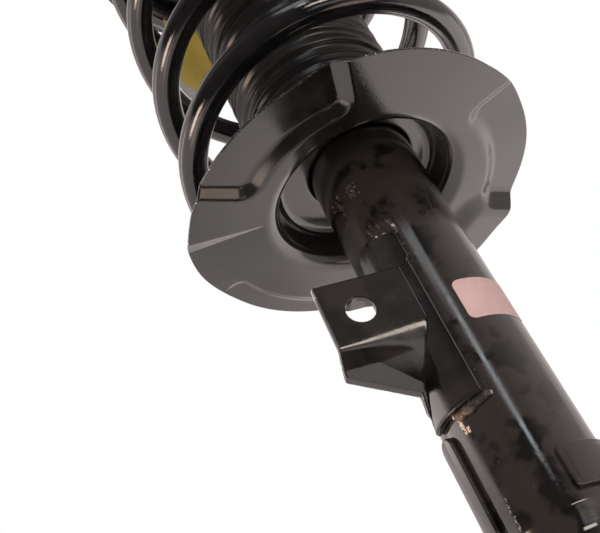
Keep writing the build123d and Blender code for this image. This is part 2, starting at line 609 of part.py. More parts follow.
def mount_rubber():
    """Rubber between the sleeve and the cup."""
    low = SLEEVE_Z + 3 + SOFT_GAP
    high = MOUNT_Z + MOUNT_CUP_HEIGHT
    inner = SLEEVE_R + SEAT_FIT
    outer = MOUNT_CUP_R - MOUNT_PLATE - SEAT_FIT
    return turned([(inner, low), (outer - 3, low), (outer, low + 5), (outer, high - SEAT_FIT),
                   (inner + 2, high - SEAT_FIT), (inner, high - 3)])


def mount_sleeve():
    """Steel sleeve clamped on the rod's upper stud."""
    bore = ROD_STUD_R + SEAT_FIT
    return turned([(bore, SLEEVE_Z), (SLEEVE_FLANGE_R, SLEEVE_Z), (SLEEVE_FLANGE_R, SLEEVE_Z + 3),
                   (SLEEVE_R, SLEEVE_Z + 3), (SLEEVE_R, SLEEVE_TOP), (bore, SLEEVE_TOP)])


def write(name, shape):
    """Writes one piece to parts/NAME.step, turned to face the front."""
    export_step(Rot(0, 0, FRONT_TURN) * shape, f"parts/{name}.step")


def main():
    """Builds every piece and writes it."""
    os.makedirs("parts", exist_ok=True)
    seat = lower_spring_seat()
    bracket = link_bracket()
    nut_z = SLEEVE_TOP + WASHER_THICKNESS
    piston_nut = hex_nut(PISTON_NUT_AF, PISTON_STUD_R + SEAT_FIT, PISTON_Z - PISTON_NUT_HEIGHT, PISTON_Z)
    pieces = {
        "strut_tube": strut_tube(),
        "base_cap": base_cap(),
        "lower_spring_seat": seat,
        "link_bracket": bracket,
        "weld_beads": weld_beads(bracket, seat),
        "locating_key": locating_key(),
        "tube_pad": tube_pad(),
        "pressure_tube": pressure_tube(),
        "base_valve": base_valve(),
        "rod_guide": rod_guide(),
        "guide_bush": guide_bush(),
        "rod_seal": rod_seal(),
        "striker_cap": striker_cap(),
        "coil_spring": coil_spring(),
        "dust_boot": dust_boot(),
        "bump_stop": bump_stop(),
        "bump_stop_cup": bump_stop_cup(),
        "piston_rod": piston_rod(),
        "piston": piston(),
        "piston_band": piston_band(),
        "piston_nut": piston_nut,
        "rebound_stop": rebound_stop(),
        "upper_spring_seat": upper_spring_seat(),
        "upper_insulator": upper_insulator(),
        "bearing_lower_race": bearing_race(DOME_TOP),
        "bearing_upper_race": bearing_race(MOUNT_Z - RACE_HEIGHT),
        "bearing_balls": bearing_balls(),
        "mount_plate": mount_plate(),
        "mount_studs": mount_studs(),
        "mount_rubber": mount_rubber(),
        "mount_sleeve": mount_sleeve(),
        "rod_washer": ring(WASHER_R, ROD_STUD_R + SEAT_FIT, SLEEVE_TOP, nut_z),
        "rod_nut": hex_nut(ROD_NUT_AF, ROD_STUD_R + SEAT_FIT, nut_z, nut_z + ROD_NUT_HEIGHT),
    }
    for name, shape in pieces.items():
        write(name, shape)


main()
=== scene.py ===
"""Looks of a suspension strut: black enamelled tube, stamped spring seat, folded link bracket, coil spring
and top mount."""
import math

import bmesh
import bpy
import numpy as np
from mathutils import Matrix, Vector


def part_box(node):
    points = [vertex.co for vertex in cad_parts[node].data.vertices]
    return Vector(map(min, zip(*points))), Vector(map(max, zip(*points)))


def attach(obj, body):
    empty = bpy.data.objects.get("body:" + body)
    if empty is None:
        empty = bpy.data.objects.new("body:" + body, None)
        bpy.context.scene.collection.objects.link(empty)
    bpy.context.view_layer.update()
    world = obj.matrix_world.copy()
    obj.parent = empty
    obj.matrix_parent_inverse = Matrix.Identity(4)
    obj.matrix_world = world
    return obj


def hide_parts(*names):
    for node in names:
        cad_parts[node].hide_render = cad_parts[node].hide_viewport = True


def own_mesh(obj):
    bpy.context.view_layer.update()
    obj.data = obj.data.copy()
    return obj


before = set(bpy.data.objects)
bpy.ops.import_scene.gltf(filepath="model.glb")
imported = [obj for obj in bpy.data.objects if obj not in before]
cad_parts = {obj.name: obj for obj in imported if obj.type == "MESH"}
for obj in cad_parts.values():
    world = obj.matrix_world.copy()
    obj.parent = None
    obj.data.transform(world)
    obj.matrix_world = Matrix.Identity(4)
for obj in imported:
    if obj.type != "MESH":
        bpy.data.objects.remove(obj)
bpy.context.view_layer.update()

MM = 0.001

# ---- sizes read from the frame, in millimetres ---------------------------------------------------


def low_high(node):
    """Lowest and highest corner of a CAD node, in millimetres."""
    low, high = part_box(node)
    return np.array(low) / MM, np.array(high) / MM


TUBE_LOW, TUBE_HIGH = low_high("strut_tube")
SEAT_TOP = low_high("lower_spring_seat")[1][2]
COIL_LOW, COIL_HIGH = low_high("coil_spring")
BOOT_LOW, BOOT_HIGH = low_high("dust_boot")
KEY_LOW, KEY_HIGH = low_high("locating_key")
PAD_LOW, PAD_HIGH = low_high("tube_pad")

TUBE_R = TUBE_HIGH[0]
TUBE_WALL = 2.5
SPIGOT_R = TUBE_R - 2.5  # the tube steps in under its shoulder
SHEET = 3.0
ON_TUBE = 0.05  # a sheet's clearance on the tube
PLATE_BASE_R = 25.05  # radius at which the small plates lie on the tube

# Spring seat: centre of the dish and levels of its underside.
SEAT_CENTRE = (-3.0, 2.0)
SEAT_BASE = 176.0
SEAT_RISE = 4.0
SEAT_DROP = 3.5
SEAT_CEILING = 194.0
SEAT_EDGE = 1.1
# Its cup: radius of the wall, of the fold at its mouth and of the bend under its ceiling; the wall's draft.
SEAT_WALL_R, SEAT_FOLD, SEAT_BEND, SEAT_DRAFT = 42.0, 7.0, 4.0, 3.0
FLAT_END = SEAT_WALL_R + SEAT_FOLD
CEILING_R = SEAT_WALL_R - SEAT_DRAFT - SEAT_BEND
COLLAR_BEND = 2.0
BAND_R = 72.0  # outside it the rings follow the rim, inside it they are round
# Lands and low stretch: first and last angle, and inner radius at both. Width and corner of their slopes.
LANDS = ((197.4, 256.4, (58.5, 57.0)), (321.5, 379.0, (57.5, 66.5)), (95.0, 148.5, (71.5, 70.5)))
LOW_STRETCH = (19.5, 82.0, (60.0, 60.0))
LAND_SLOPE, LAND_CORNER = 5.4, 7.0
LOW_SLOPE, LOW_CORNER = 10.0, 9.0
# Swept stretch: first and last angle, inner radius, the degrees over which it begins, the slope of its end.
SWEPT_START, SWEPT_END, SWEPT_INNER, SWEPT_RUN_IN, SWEPT_FLANK = 116.0, 177.5, 50.0, 26.0, 0.45
# Radius of the rim at stations round the dish, in degrees.
RIM = ((30, 82.5), (42, 84.5), (60, 85), (90, 83.3), (140, 83.3), (158, 85.9), (176, 86.3), (184, 84.9),
       (192, 84.6), (200, 82.2), (217, 80.1), (240, 78.5), (247, 79.2), (255, 82), (264, 81.8), (283, 80.9),
       (307, 80), (322, 81), (334, 80.8), (352, 82.3), (372, 83.2), (380, 84.6))

# Coil spring: a steady climb through one place, with a small tilt, kept between the two seats. It stands off
# the rod's axis at its foot, leans as it climbs past one height, and comes back past the next.
WIRE_R = 6.9
SPRING_R = 72.4
COIL_ZERO, COIL_ZERO_Z = 190.0, 213.27
PITCH = 56.83
COIL_TIP, COIL_END = -30.0, 1733.0
SEAT_GAP = 7.0  # from the CAD coil's ends to the wire's middle line
COIL_TILT, COIL_BEHIND = -5.7, 6.0
LEVEL_FROM, LEVEL_OVER = 230.0, 420.0  # degrees from the end where the tilt is gone, and that it fades over
COIL_FOOT = (-2.77, 1.53)
COIL_LEAN = (0.0315, 0.023)
LEAN_Z, RETURN_Z, LEAN_RISE = 200.0, 300.0, 90.0

# Dust boot: its wall, the spacing and depth of its folds, height of the first crest, length of a cuff and of
# the run-in next to it, radius of the hole in its top.
BOOT_WALL, BOOT_PITCH, BOOT_DEPTH, BOOT_FIRST, CUFF, CUFF_RUN, CUFF_R = 2.0, 10.0, 2.4, 5.2, 3.0, 4.0, 27.2

# Link bracket, drawn with its plate along +X and facing +Y, then turned half round.
PLATE_FACE = 22.0
PLATE_END = 55.0
PLATE_LOW, PLATE_TOP = 84.2, 115.0
HOLE_X, HOLE_Z, HOLE_R = 40.0, 99.5, 6.0
FLANGE_SLOPE = math.radians(48.0)
FLANGE_CORNER, FLANGE_FOOT = 76.0, 64.5
# The fold's radius at the plate's end and by the tube, where that starts to change, and over what length.
FOLD_OUT, FOLD_IN, FOLD_FROM, FOLD_SPAN = 1.6, 6.5, 26.0, 26.0
# The crease below the fold: its height at the plate's end, how steeply it climbs towards the tube, how near
# the tube it goes, its slope and the rounding of its corner.
CREASE, CREASE_CLIMB, CREASE_STOP, CREASE_SLOPE, CREASE_EASE = 78.2, 0.12, 33.0, 0.35, 0.8
BEND_EASE = 0.25
SKIRT_LOW, SKIRT_START, SKIRT_REAR = 50.0, -1.0, 60.0
SHEAR_EDGE = 0.5
SHARP_ANGLE = math.radians(26)


# ---- shapes as functions of two parameters -------------------------------------------------------
def polar(radius, degrees, height, centre=(0.0, 0.0)):
    """Points at a radius and angle round a centre: x = r cos a, y = r sin a, z = height."""
    angle = np.radians(degrees)
    x, y = radius * np.cos(angle) + centre[0], radius * np.sin(angle) + centre[1]
    return np.stack(np.broadcast_arrays(x, y, height), axis=-1).astype(float)


CAPPED, CLOSED = (False, True), (True, True)  # how a grid wraps: in its second direction only, or in both


def grid_quads(rows, columns, wrap):
    """A quad for each four neighbours of a grid; a wrapped direction joins its last row to its first."""
    index = np.arange(rows * columns).reshape(rows, columns)
    if wrap[0]:
        index = np.concatenate([index, index[:1]], axis=0)
    if wrap[1]:
        index = np.concatenate([index, index[:, :1]], axis=1)
    return np.stack([index[:-1, :-1], index[1:, :-1], index[1:, 1:], index[:-1, 1:]], axis=-1).reshape(-1, 4)


def piece(name, body, grid, material=None, wrap=CAPPED):
    """One mesh from a grid of points in millimetres."""
    return from_faces(name, body, grid.reshape(-1, 3), grid_quads(*grid.shape[:2], wrap), material)


def new_object(name, data):
    """An object that holds the data, put in the scene."""
    obj = bpy.data.objects.new(name, data)
    bpy.context.scene.collection.objects.link(obj)
    return obj


def from_faces(name, body, points, quads, material):
    """A smooth closed mesh that rides on a CAD body, its doubles merged and its faces turned outwards."""
    mesh = bpy.data.meshes.new(name)
    mesh.from_pydata((points * MM).tolist(), [], quads.tolist())
    work = bmesh.new()
    work.from_mesh(mesh)
    bmesh.ops.remove_doubles(work, verts=work.verts, dist=1e-7)
    bmesh.ops.recalc_face_normals(work, faces=work.faces)
    work.to_mesh(mesh)
    work.free()
    mesh.polygons.foreach_set("use_smooth", np.ones(len(mesh.polygons), bool))
    mesh.update()
    obj = new_object(name, mesh)
    if material:
        obj.data.materials.append(material)
    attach(obj, body)
    return obj


def rounded_line(corners, radii, steps):
    """A closed line with each corner replaced by an arc of its radius, kept to what its sides allow."""
    corners = np.asarray(corners, float)
    count = len(corners)
    out = []
    for i, (here, radius) in enumerate(zip(corners, radii)):
        back = corners[i - 1] - here
        ahead = corners[(i + 1) % count] - here
        long_back, long_ahead = np.linalg.norm(back), np.linalg.norm(ahead)
        back, ahead = back / long_back, ahead / long_ahead
        half = math.acos(np.clip(back @ ahead, -1, 1)) / 2
        reach = min(radius / math.tan(half), 0.48 * long_back, 0.48 * long_ahead)
        radius = reach * math.tan(half)
        middle = here + (back + ahead) / np.linalg.norm(back + ahead) * radius / math.sin(half)
        start, stop = here + back * reach - middle, here + ahead * reach - middle
        turn = math.pi - 2 * half
        share = np.linspace(0, 1, steps)[:, None]
        arc = np.sin((1 - share) * turn) * start + np.sin(share * turn) * stop
        out.append(middle + arc / math.sin(turn))
    return np.concatenate(out)


def turned(corners, radii, segments=256, steps=10):
    """A turned shape: the rounded line of its half section carried round the Z axis."""
    line = rounded_line(corners, radii, steps)
    angle = np.linspace(0, 360, segments, endpoint=False)[:, None]
    return polar(line[None, :, 0], angle, line[None, :, 1])


def eased(value, ease):
    """Rounds the corner of max(value, 0): (value + e)^2 / 4e within e of zero."""
    return np.where(value > ease, value, np.where(value < -ease, 0.0, (value + ease) ** 2 / (4 * ease)))


def ramp(share, ease=0.25):
    """A slope from 0 to 1 as share goes from 0 to 1, with rounded ends."""
    return eased(share, ease) - eased(share - 1, ease)


def plateau(radius, degrees, start, end, inner_r, width, corner):
    """A raised sector: how far a point is inside its two sides and its inner arc, whose radius runs from one
    value to another, rounded at the corners, then made into a slope of the given width."""
    middle, half = (start + end) / 2, (end - start) / 2
    offset = (degrees - middle + 180) % 360 - 180
    side = radius * np.radians(half - np.abs(offset))
    share = np.clip(0.5 + offset / (2 * half), 0, 1)
    inner = radius - inner_r[0] * (1 - share) - inner_r[1] * share
    reach = np.hypot(np.maximum(corner - side, 0), np.maximum(corner - inner, 0))
    return ramp((corner - reach) / width + 0.5)


# ---- lower spring seat ---------------------------------------------------------------------------
def rim_radius(degrees):
    """The rim's radius at an angle: straight lines between its stations, smoothed over 5 degrees."""
    places = np.array(RIM, float)
    lap = np.concatenate([places - (360, 0), places, places + (360, 0)])
    spread = np.linspace(-5, 5, 11)
    weight = np.cos(spread / 5.5 * np.pi / 2)
    values = np.interp(degrees[..., None] % 360 + spread, lap[:, 0], lap[:, 1])
    return values @ weight / weight.sum()


def smaller(a, b, ease):
    """The smaller of two heights with the corner between them rounded."""
    return a - eased(a - b, ease)


def seat_underside(radius, degrees):
    """Height of the dish's underside: the base level, the higher of its lands and of its swept stretch,
    which climbs steadily to the rim, less its low stretch."""
    rise = 0.0 * radius
    for start, end, inner_r in LANDS:
        rise = rise + SEAT_RISE * plateau(radius, degrees, start, end, inner_r, LAND_SLOPE, LAND_CORNER)
    outward = (radius - SWEPT_INNER) / (rim_radius(degrees) - SWEPT_INNER)
    inside = radius * np.radians(SWEPT_END - degrees)
    swept = smaller(SEAT_RISE * 1.05 * np.clip(outward, 0, 2), inside * SWEPT_FLANK, 0.35)
    swept = swept * ramp((degrees - SWEPT_START) / SWEPT_RUN_IN) * (degrees < SWEPT_END + 8)
    rise = np.maximum(rise, np.maximum(swept, 0.0))
    return SEAT_BASE + rise - SEAT_DROP * plateau(radius, degrees, *LOW_STRETCH, LOW_SLOPE, LOW_CORNER)


def seat_angles():
    """Angles round the dish, in a column: evenly apart, and closer together across each slope."""
    slopes = [edge for land in LANDS for edge in land[:2]] + list(LOW_STRETCH[:2])
    close = [np.linspace(a - 6, a + 6, 40) for a in slopes] + [np.linspace(170, SWEPT_END + 2.5, 40)]
    angle = np.concatenate([np.linspace(0, 360, 288, endpoint=False), np.concatenate(close) % 360])
    return np.unique(np.round(angle, 2))[:, None]


def quarter_circle(steps):
    """Angles of a quarter circle in radians, in a row, without its first point."""
    return np.linspace(0, 1, steps + 1)[1:][None] * np.pi / 2


def seat_cup(edge_z):
    """Radius and height of the cup inside the dish: a quarter circle of the fold up from the dish's inner
    edge, a wall that closes in by its draft, and a quarter circle of the bend under the ceiling."""
    turn = quarter_circle(10)
    share = np.linspace(0, 1, 6)[1:][None]
    top = SEAT_CEILING - SEAT_BEND
    radius = [FLAT_END - SEAT_FOLD * np.sin(turn), SEAT_WALL_R - SEAT_DRAFT * share,
              CEILING_R + SEAT_BEND * np.cos(turn)]
    height = [edge_z + SEAT_FOLD * (1 - np.cos(turn)), (edge_z + SEAT_FOLD) * (1 - share) + top * share,
              top + SEAT_BEND * np.sin(turn) + 0 * edge_z]
    return np.concatenate(radius, axis=1) + 0 * edge_z, np.concatenate(height, axis=1)


def seat_collar(angle):
    """From the cup in along the ceiling, up a quarter circle to the collar on the tube, over its top, and
    back a sheet's thickness outside: the ceiling's points are shares of its outer and its inner ring."""
    bore, over_ceiling = TUBE_R + ON_TUBE, SEAT_CEILING + SHEET
    inward = np.linspace(0, 1, 8)[1:][None, :, None]
    seat_ring = polar(CEILING_R, angle, SEAT_CEILING, SEAT_CENTRE)
    tube_ring = polar(bore + COLLAR_BEND, angle, SEAT_CEILING)
    ceiling = seat_ring * (1 - inward) + tube_ring * inward
    turn = quarter_circle(5)
    inside = polar(bore + COLLAR_BEND * (1 - np.sin(turn)), angle,
                   SEAT_CEILING + COLLAR_BEND * (1 - np.cos(turn)))
    top = polar(np.array([[bore, bore + 0.5, bore + SHEET - 0.5, bore + SHEET]]), angle,
                np.array([[SEAT_TOP - 0.5, SEAT_TOP, SEAT_TOP, SEAT_TOP - 0.5]]))
    foot = polar(bore + SHEET + COLLAR_BEND * (1 - np.cos(turn)), angle,
                 over_ceiling + COLLAR_BEND * (1 - np.sin(turn)))
    seat_over = polar(CEILING_R - 0.5, angle, over_ceiling, SEAT_CENTRE)
    tube_over = polar(bore + SHEET + COLLAR_BEND, angle, over_ceiling)
    ceiling_over = tube_over * (1 - inward[:, :-1]) + seat_over * inward[:, :-1]
    return np.concatenate([ceiling, inside, top, foot, ceiling_over], axis=1)


def seat_dish():
    """Section of the dish at each angle, carried round: the underside from the rim inwards, the cup, the
    collar on the tube, and back along the top, each point = the underside's less a sheet's thickness along
    its outward direction."""
    angle = seat_angles()
    rim_r = rim_radius(angle[:, 0])[:, None]
    outer = BAND_R + np.linspace(1, 0, 14)[None] * (rim_r - BAND_R)
    inner = np.concatenate([np.linspace(BAND_R - 0.8, 53, 34), np.linspace(52, FLAT_END, 4)])[None]
    flat_r = np.concatenate([outer, inner + 0 * rim_r], axis=1)
    flat_z = seat_underside(flat_r, angle)
    cup_r, cup_z = seat_cup(flat_z[:, -1:])
    under_r = np.concatenate([flat_r, cup_r], axis=1)
    under_z = np.concatenate([flat_z, cup_z], axis=1)
    outside = np.stack([-np.gradient(under_z, axis=1), np.gradient(under_r, axis=1)], axis=2)
    outside = outside / np.linalg.norm(outside, axis=2, keepdims=True)
    over_r = np.minimum(under_r - SHEET * outside[..., 0], rim_r + SEAT_EDGE - SHEET)
    over_z = under_z - SHEET * outside[..., 1]
    # The sheared edge: how far each of its points is back from the rim, and above the underside.
    rim_back = np.array([[1.9, 0.12, 0.0, 0.0, 0.08]])
    rim_up = np.array([[SHEET, SEAT_EDGE + 0.1, SEAT_EDGE - 0.1, 0.3, 0.08]])
    rim = polar(rim_r - rim_back, angle, flat_z[:, :1] + rim_up, SEAT_CENTRE)
    under_r[:, 0] = rim_r[:, 0] - 0.3
    under = polar(under_r, angle, under_z, SEAT_CENTRE)
    over = polar(over_r, angle, over_z, SEAT_CENTRE)[:, :0:-2]
    return np.concatenate([under, seat_collar(angle), over, rim], axis=1)


# ---- coil spring ---------------------------------------------------------------------------------
def coil_line(degrees):
    """The wire's middle line: height = steady climb + tilt x cosine of the angle, and lower behind, no lower
    than the wire on the lower seat and no higher than the dead coil under the upper one."""
    low, high = COIL_LOW[2] + SEAT_GAP, COIL_HIGH[2] - SEAT_GAP
    fade = np.clip((COIL_END - LEVEL_FROM - degrees) / LEVEL_OVER, 0, 1)
    turn = np.radians(degrees)
    tilt = COIL_TILT * np.cos(turn) - COIL_BEHIND * ramp(np.sin(turn) / 0.6)
    climb = COIL_ZERO_Z + PITCH * (degrees - COIL_ZERO) / 360 + fade * tilt
    height = low + eased(climb - low, 3.0)
    height = high - eased(high - height, 3.0)
    up = np.clip(height - LEAN_Z, 0, LEAN_RISE) - np.clip(height - RETURN_Z, 0, LEAN_RISE)
    foot = 1 - ramp((height - RETURN_Z) / LEAN_RISE)
    line = polar(SPRING_R, degrees, height)
    line[:, 0] += COIL_FOOT[0] * foot + COIL_LEAN[0] * up
    line[:, 1] += COIL_FOOT[1] * foot + COIL_LEAN[1] * up
    return line


def swept(line, degrees, size, section, capped=True, flat=1.0):
    """A round or flattened section at each point of a line that runs round the rod's axis, square to it and
    closed at both ends: line + size x (flat x cosine x outward + sine x up)."""
    outward = polar(1.0, degrees, 0 * degrees)
    along = np.gradient(line, axis=0)
    along /= np.linalg.norm(along, axis=1, keepdims=True)
    up = np.cross(along, outward)
    up /= np.linalg.norm(up, axis=1, keepdims=True)
    outward = np.cross(up, along)
    turn = np.linspace(0, 2 * np.pi, section, endpoint=False)[None, :, None]
    size = np.broadcast_to(size, (len(line),)).astype(float)[:, None, None]
    grid = line[:, None] + size * (flat * np.cos(turn) * outward[:, None] + np.sin(turn) * up[:, None])
    if not capped:
        return grid
    ends = np.repeat(line[[0, -1], None], section, axis=1)
    return np.concatenate([ends[:1], grid, ends[1:]])


def coil(edge=0.9, section=40):
    """The wire's section carried along its middle line, with rounded edges at its two cut ends."""
    turn = np.linspace(0, np.pi / 2, 4)
    back = np.degrees(edge * (1 - np.cos(turn)) / SPRING_R)
    middle = np.linspace(COIL_TIP + 1.5, COIL_END - 1.5, round((COIL_END - COIL_TIP) / 4.0))
    degrees = np.concatenate([COIL_TIP + back, middle, COIL_END - back[::-1]])
    lead = WIRE_R - edge + edge * np.sin(turn)
    sizes = np.concatenate([lead, np.full(len(middle), WIRE_R), lead[::-1]])
    return swept(coil_line(degrees), degrees, sizes, section)


# ---- dust boot -----------------------------------------------------------------------------------
def boot():
    """Bellows: radius = valley + depth x a high power of a raised cosine of the height, so that its crests
    are narrow and its valleys broad, closed by a cuff at each end and a wall inside."""
    low, high = BOOT_LOW[2], BOOT_HIGH[2]
    z = np.linspace(low, high, 500)
    crest = (0.5 + 0.5 * np.cos(2 * np.pi * (z - low - BOOT_FIRST) / BOOT_PITCH)) ** 2.5
    crest = crest * np.clip((z - low - CUFF) / CUFF_RUN, 0, 1) * np.clip((high - CUFF - z) / CUFF_RUN, 0, 1)
    radius = BOOT_HIGH[0] - BOOT_WALL - BOOT_DEPTH * (1 - crest)
    radius = np.concatenate([radius, [CUFF_R, CUFF_R], (radius - BOOT_WALL)[::-4]])
    height = np.concatenate([z, [high, high - BOOT_WALL], np.clip(z[::-4], low, high - BOOT_WALL)])
    angle = np.linspace(0, 360, 144, endpoint=False)[:, None]
    grid = polar(radius[None], angle, height[None])
    lean = np.clip((high - height - 10) / (high - low), 0, 1)[None, :, None]
    grid[..., :2] += lean * (SEAT_CENTRE[0] * 0.9, SEAT_CENTRE[1] * 0.9)
    return grid


# ---- link bracket --------------------------------------------------------------------------------
def sheet_skin(height, skin_r, inset, end_x, inside, count):
    """Points of one skin of the sheet at one height, evenly apart: radius = larger of the tube's skin and
    of face / sine of the angle, with a rounded corner. The fold's radius grows towards the tube."""
    angle = np.radians(np.linspace(SKIRT_REAR, SKIRT_START, 900))
    sine, cosine = np.maximum(np.sin(angle), 0.02), np.maximum(np.cos(angle), 0.02)
    across = np.minimum(PLATE_FACE / sine * cosine, PLATE_END)
    fold = FOLD_IN + (FOLD_OUT - FOLD_IN) * ramp((across - FOLD_FROM) / FOLD_SPAN)
    drop = eased(PLATE_LOW - height, fold)
    steep = np.clip(drop / fold, 0, 1)
    climb = CREASE_CLIMB * (PLATE_END - np.maximum(across, CREASE_STOP))
    crease = CREASE_SLOPE * eased(CREASE + climb - height, CREASE_EASE + climb)
    face = PLATE_FACE - drop / math.tan(FLANGE_SLOPE) + crease - inset
    if inside:
        face = face - SHEET * (1 - steep) - SHEET / math.sin(FLANGE_SLOPE) * steep + 2 * inset
    radius = skin_r + eased(np.where(face > 0, face / sine, 0.0) - skin_r, BEND_EASE)
    x, y = radius * np.cos(angle), radius * np.sin(angle)
    kept = (x < end_x) | (np.abs(radius - skin_r) < 0.01)
    last = max(int(np.argmin(kept)) if not kept.all() else len(x), 2)
    x, y = x[:last], y[:last]
    along = np.concatenate([[0], np.cumsum(np.hypot(np.diff(x), np.diff(y)))])
    even = np.linspace(0, along[-1], count)
    return np.stack([np.interp(even, along, x), np.interp(even, along, y), np.full(count, height)], axis=1)


def sheared_end(first, last, outwards):
    """Points across the sheet's cut end: half an ellipse from one skin to the other, flattened outwards."""
    share = np.linspace(0, np.pi, 9)[1:-1, None]
    outwards = outwards / np.linalg.norm(outwards) * SHEAR_EDGE
    return (first + last) / 2 + (first - last) / 2 * np.cos(share) + outwards * np.sin(share) ** 0.5


def sheet_outline(height, inset, count=90):
    """Closed outline of the bracket's sheet at one height, drawn in from all sides by an inset."""
    skin_r = TUBE_R + ON_TUBE + SHEET
    turn_in = min(1.0, max(0.0, (FLANGE_CORNER - height) / (FLANGE_CORNER - FLANGE_FOOT)))
    end_x = PLATE_END - inset + (skin_r - PLATE_END) * float(eased(np.array(turn_in), 0.06))
    outer = sheet_skin(height, skin_r - inset, inset, end_x, False, count)
    inner = sheet_skin(height, TUBE_R + 2 * ON_TUBE + inset, inset, end_x, True, count)
    end = sheared_end(outer[-1], inner[-1], outer[-1] - outer[-2])
    rear = sheared_end(inner[0], outer[0], outer[0] - outer[1])
    return np.concatenate([outer, end, inner[::-1], rear])


def bracket_sheet():
    """The sheet's outlines from its foot to its top, with rounded edges at both, turned half round."""
    edge, flat = SHEAR_EDGE, SHEET / 2 - 0.02
    turn = np.linspace(0, np.pi / 2, 5)
    heights = np.concatenate([np.linspace(SKIRT_LOW + edge, 62, 9), np.linspace(62.6, 77, 42),
                              np.linspace(77.3, 90, 44), np.linspace(90.6, PLATE_TOP - edge, 22)])
    foot = [(SKIRT_LOW + edge * (1 - math.sin(t)), edge * (1 - math.cos(t))) for t in turn[::-1]]
    top = [(PLATE_TOP - edge * (1 - math.sin(t)), edge * (1 - math.cos(t))) for t in turn]
    levels = [(SKIRT_LOW, flat)] + foot + [(z, 0.0) for z in heights] + top + [(PLATE_TOP, flat)]
    return np.stack([sheet_outline(z, inset) for z, inset in levels]) * (-1, -1, 1)


def rounded_rectangle(half_w, half_h, corner, height):
    """Outline at one height: a quarter circle at each corner, and a straight run of points to the next."""
    wide, tall = max(half_w - corner, 0.01), max(half_h - corner, 0.01)
    quarter = np.linspace(0, np.pi / 2, 11)
    run = np.linspace(0, 1, 50)[1:-1, None]
    sides = []
    for side_x, side_y, turns in ((1, 1, 0), (-1, 1, 1), (-1, -1, 2), (1, -1, 3)):
        angle = quarter + turns * np.pi / 2
        arc = (side_x * wide, side_y * tall) + corner * np.stack([np.cos(angle), np.sin(angle)], axis=1)
        ahead = (0, -2 * side_y * tall) if turns % 2 else (-2 * side_x * wide, 0)
        sides += [arc, arc[-1] + run * ahead]
    ring = np.concatenate(sides)
    return np.concatenate([ring, np.full((len(ring), 1), height)], axis=1)


def wall_plate(start, end, low, high, thick, corner, edge, base_r=PLATE_BASE_R):
    """A plate that lies on the tube. Its outline is a rounded rectangle of arc length and height; rings of it
    go up the side, round over the edge and close on the middle, over a floor that closes it beneath."""
    mean_r = base_r + thick
    half_w, half_h = math.radians(end - start) * mean_r / 2, (high - low) / 2
    turn = np.linspace(0, np.pi / 2, 7)
    inset = np.concatenate([[0.0, 0.0], edge * (1 - np.cos(turn[1:])), edge + np.array([0.3, 1, 2, 4])])
    lift = np.concatenate([[0.0, thick - edge], thick - edge + edge * np.sin(turn[1:]), np.full(4, thick)])
    rings = np.stack([rounded_rectangle(half_w - step, half_h - step, max(corner - step, 0.05), height)
                      for step, height in zip(inset, lift)])
    longer = max(half_w, half_h)
    spine = rings[-1] * ((longer - half_h) / longer, (longer - half_w) / longer, 1)
    share = np.linspace(0, 1, 12)[1:, None, None]
    floor_rings = spine * (1, 1, 0) * share[::-1] + rings[:1] * (1 - share[::-1])
    rings = np.concatenate([floor_rings, rings, rings[-1] * (1 - share) + spine * share])
    degrees = np.degrees(rings[..., 0] / mean_r) + (start + end) / 2 + 180
    return polar(base_r + rings[..., 2], degrees, rings[..., 1] + (low + high) / 2)


# ---- weld beads ----------------------------------------------------------------------------------
def weld_line(start, end, height, tall, seed):
    """A bead along the tube: a flattened section whose size ripples unevenly, size = 1 + sum of small sines
    of the length, and whose line wanders a little."""
    degrees = np.linspace(start, end, round(abs(end - start) * 4)) + 180
    share = np.linspace(-1, 1, len(degrees))
    along = np.radians(degrees) * TUBE_R
    wander = 0.5 * np.sin(along * 0.43 + seed) + 0.25 * np.sin(along * 1.31 + 2 * seed)
    line = polar(TUBE_R + 0.6, degrees, height + wander)
    ripple = 0.035 * np.sin(along * 2.9 + np.sin(along * 0.7)) + 0.05 * np.sin(along * 0.77 + seed)
    size = tall * (1 + ripple) * np.sqrt(np.clip(1.01 - share ** 2, 0, 0.5) / 0.5)
    return swept(line, degrees, size, 28, flat=0.62)


def weld_ring(height, size):
    """A bead right round the tube, its size rippling."""
    degrees = np.linspace(0, 360, 720, endpoint=False)
    line = polar(TUBE_R + 1.0, degrees, height + 0.25 * np.sin(np.radians(degrees) * 7))
    size = size + 0.12 * np.sin(np.radians(degrees) * 104)
    return swept(line, degrees, size, 20, capped=False)


def spatter(places, seed):
    """Small weld drops, half sunk in the tube's wall: balls of seeded place and size."""
    chance = np.random.default_rng(seed)
    u, v = np.linspace(0, 360, 10, endpoint=False)[None], np.linspace(0, np.pi, 7)[:, None]
    ball = polar(np.sin(v), u, np.cos(v)).reshape(-1, 3)
    cell = grid_quads(7, 10, CAPPED)
    points = []
    for angle, height, wide, tall, size in places:
        at = angle + 180 + chance.uniform(-wide, wide)
        centre = polar(TUBE_R + 0.02, at, height + chance.uniform(-tall, tall))
        points.append(centre + ball * size * chance.uniform(0.6, 1.3))
    first = np.arange(len(places))[:, None, None] * len(ball)
    return np.concatenate(points), (cell + first).reshape(-1, 4)


# ---- node groups for the finishes ----------------------------------------------------------------
def new_group(name, inputs, outputs):
    """An empty shader group with a vector input, and named number inputs and outputs."""
    group = bpy.data.node_groups.new(name, "ShaderNodeTree")
    group.interface.new_socket(name="Vector", in_out="INPUT", socket_type="NodeSocketVector")
    for label, default in inputs.items():
        socket = group.interface.new_socket(name=label, in_out="INPUT", socket_type="NodeSocketFloat")
        socket.default_value = default
    for label in outputs:
        group.interface.new_socket(name=label, in_out="OUTPUT", socket_type="NodeSocketFloat")
    return group, group.nodes.new("NodeGroupInput"), group.nodes.new("NodeGroupOutput")


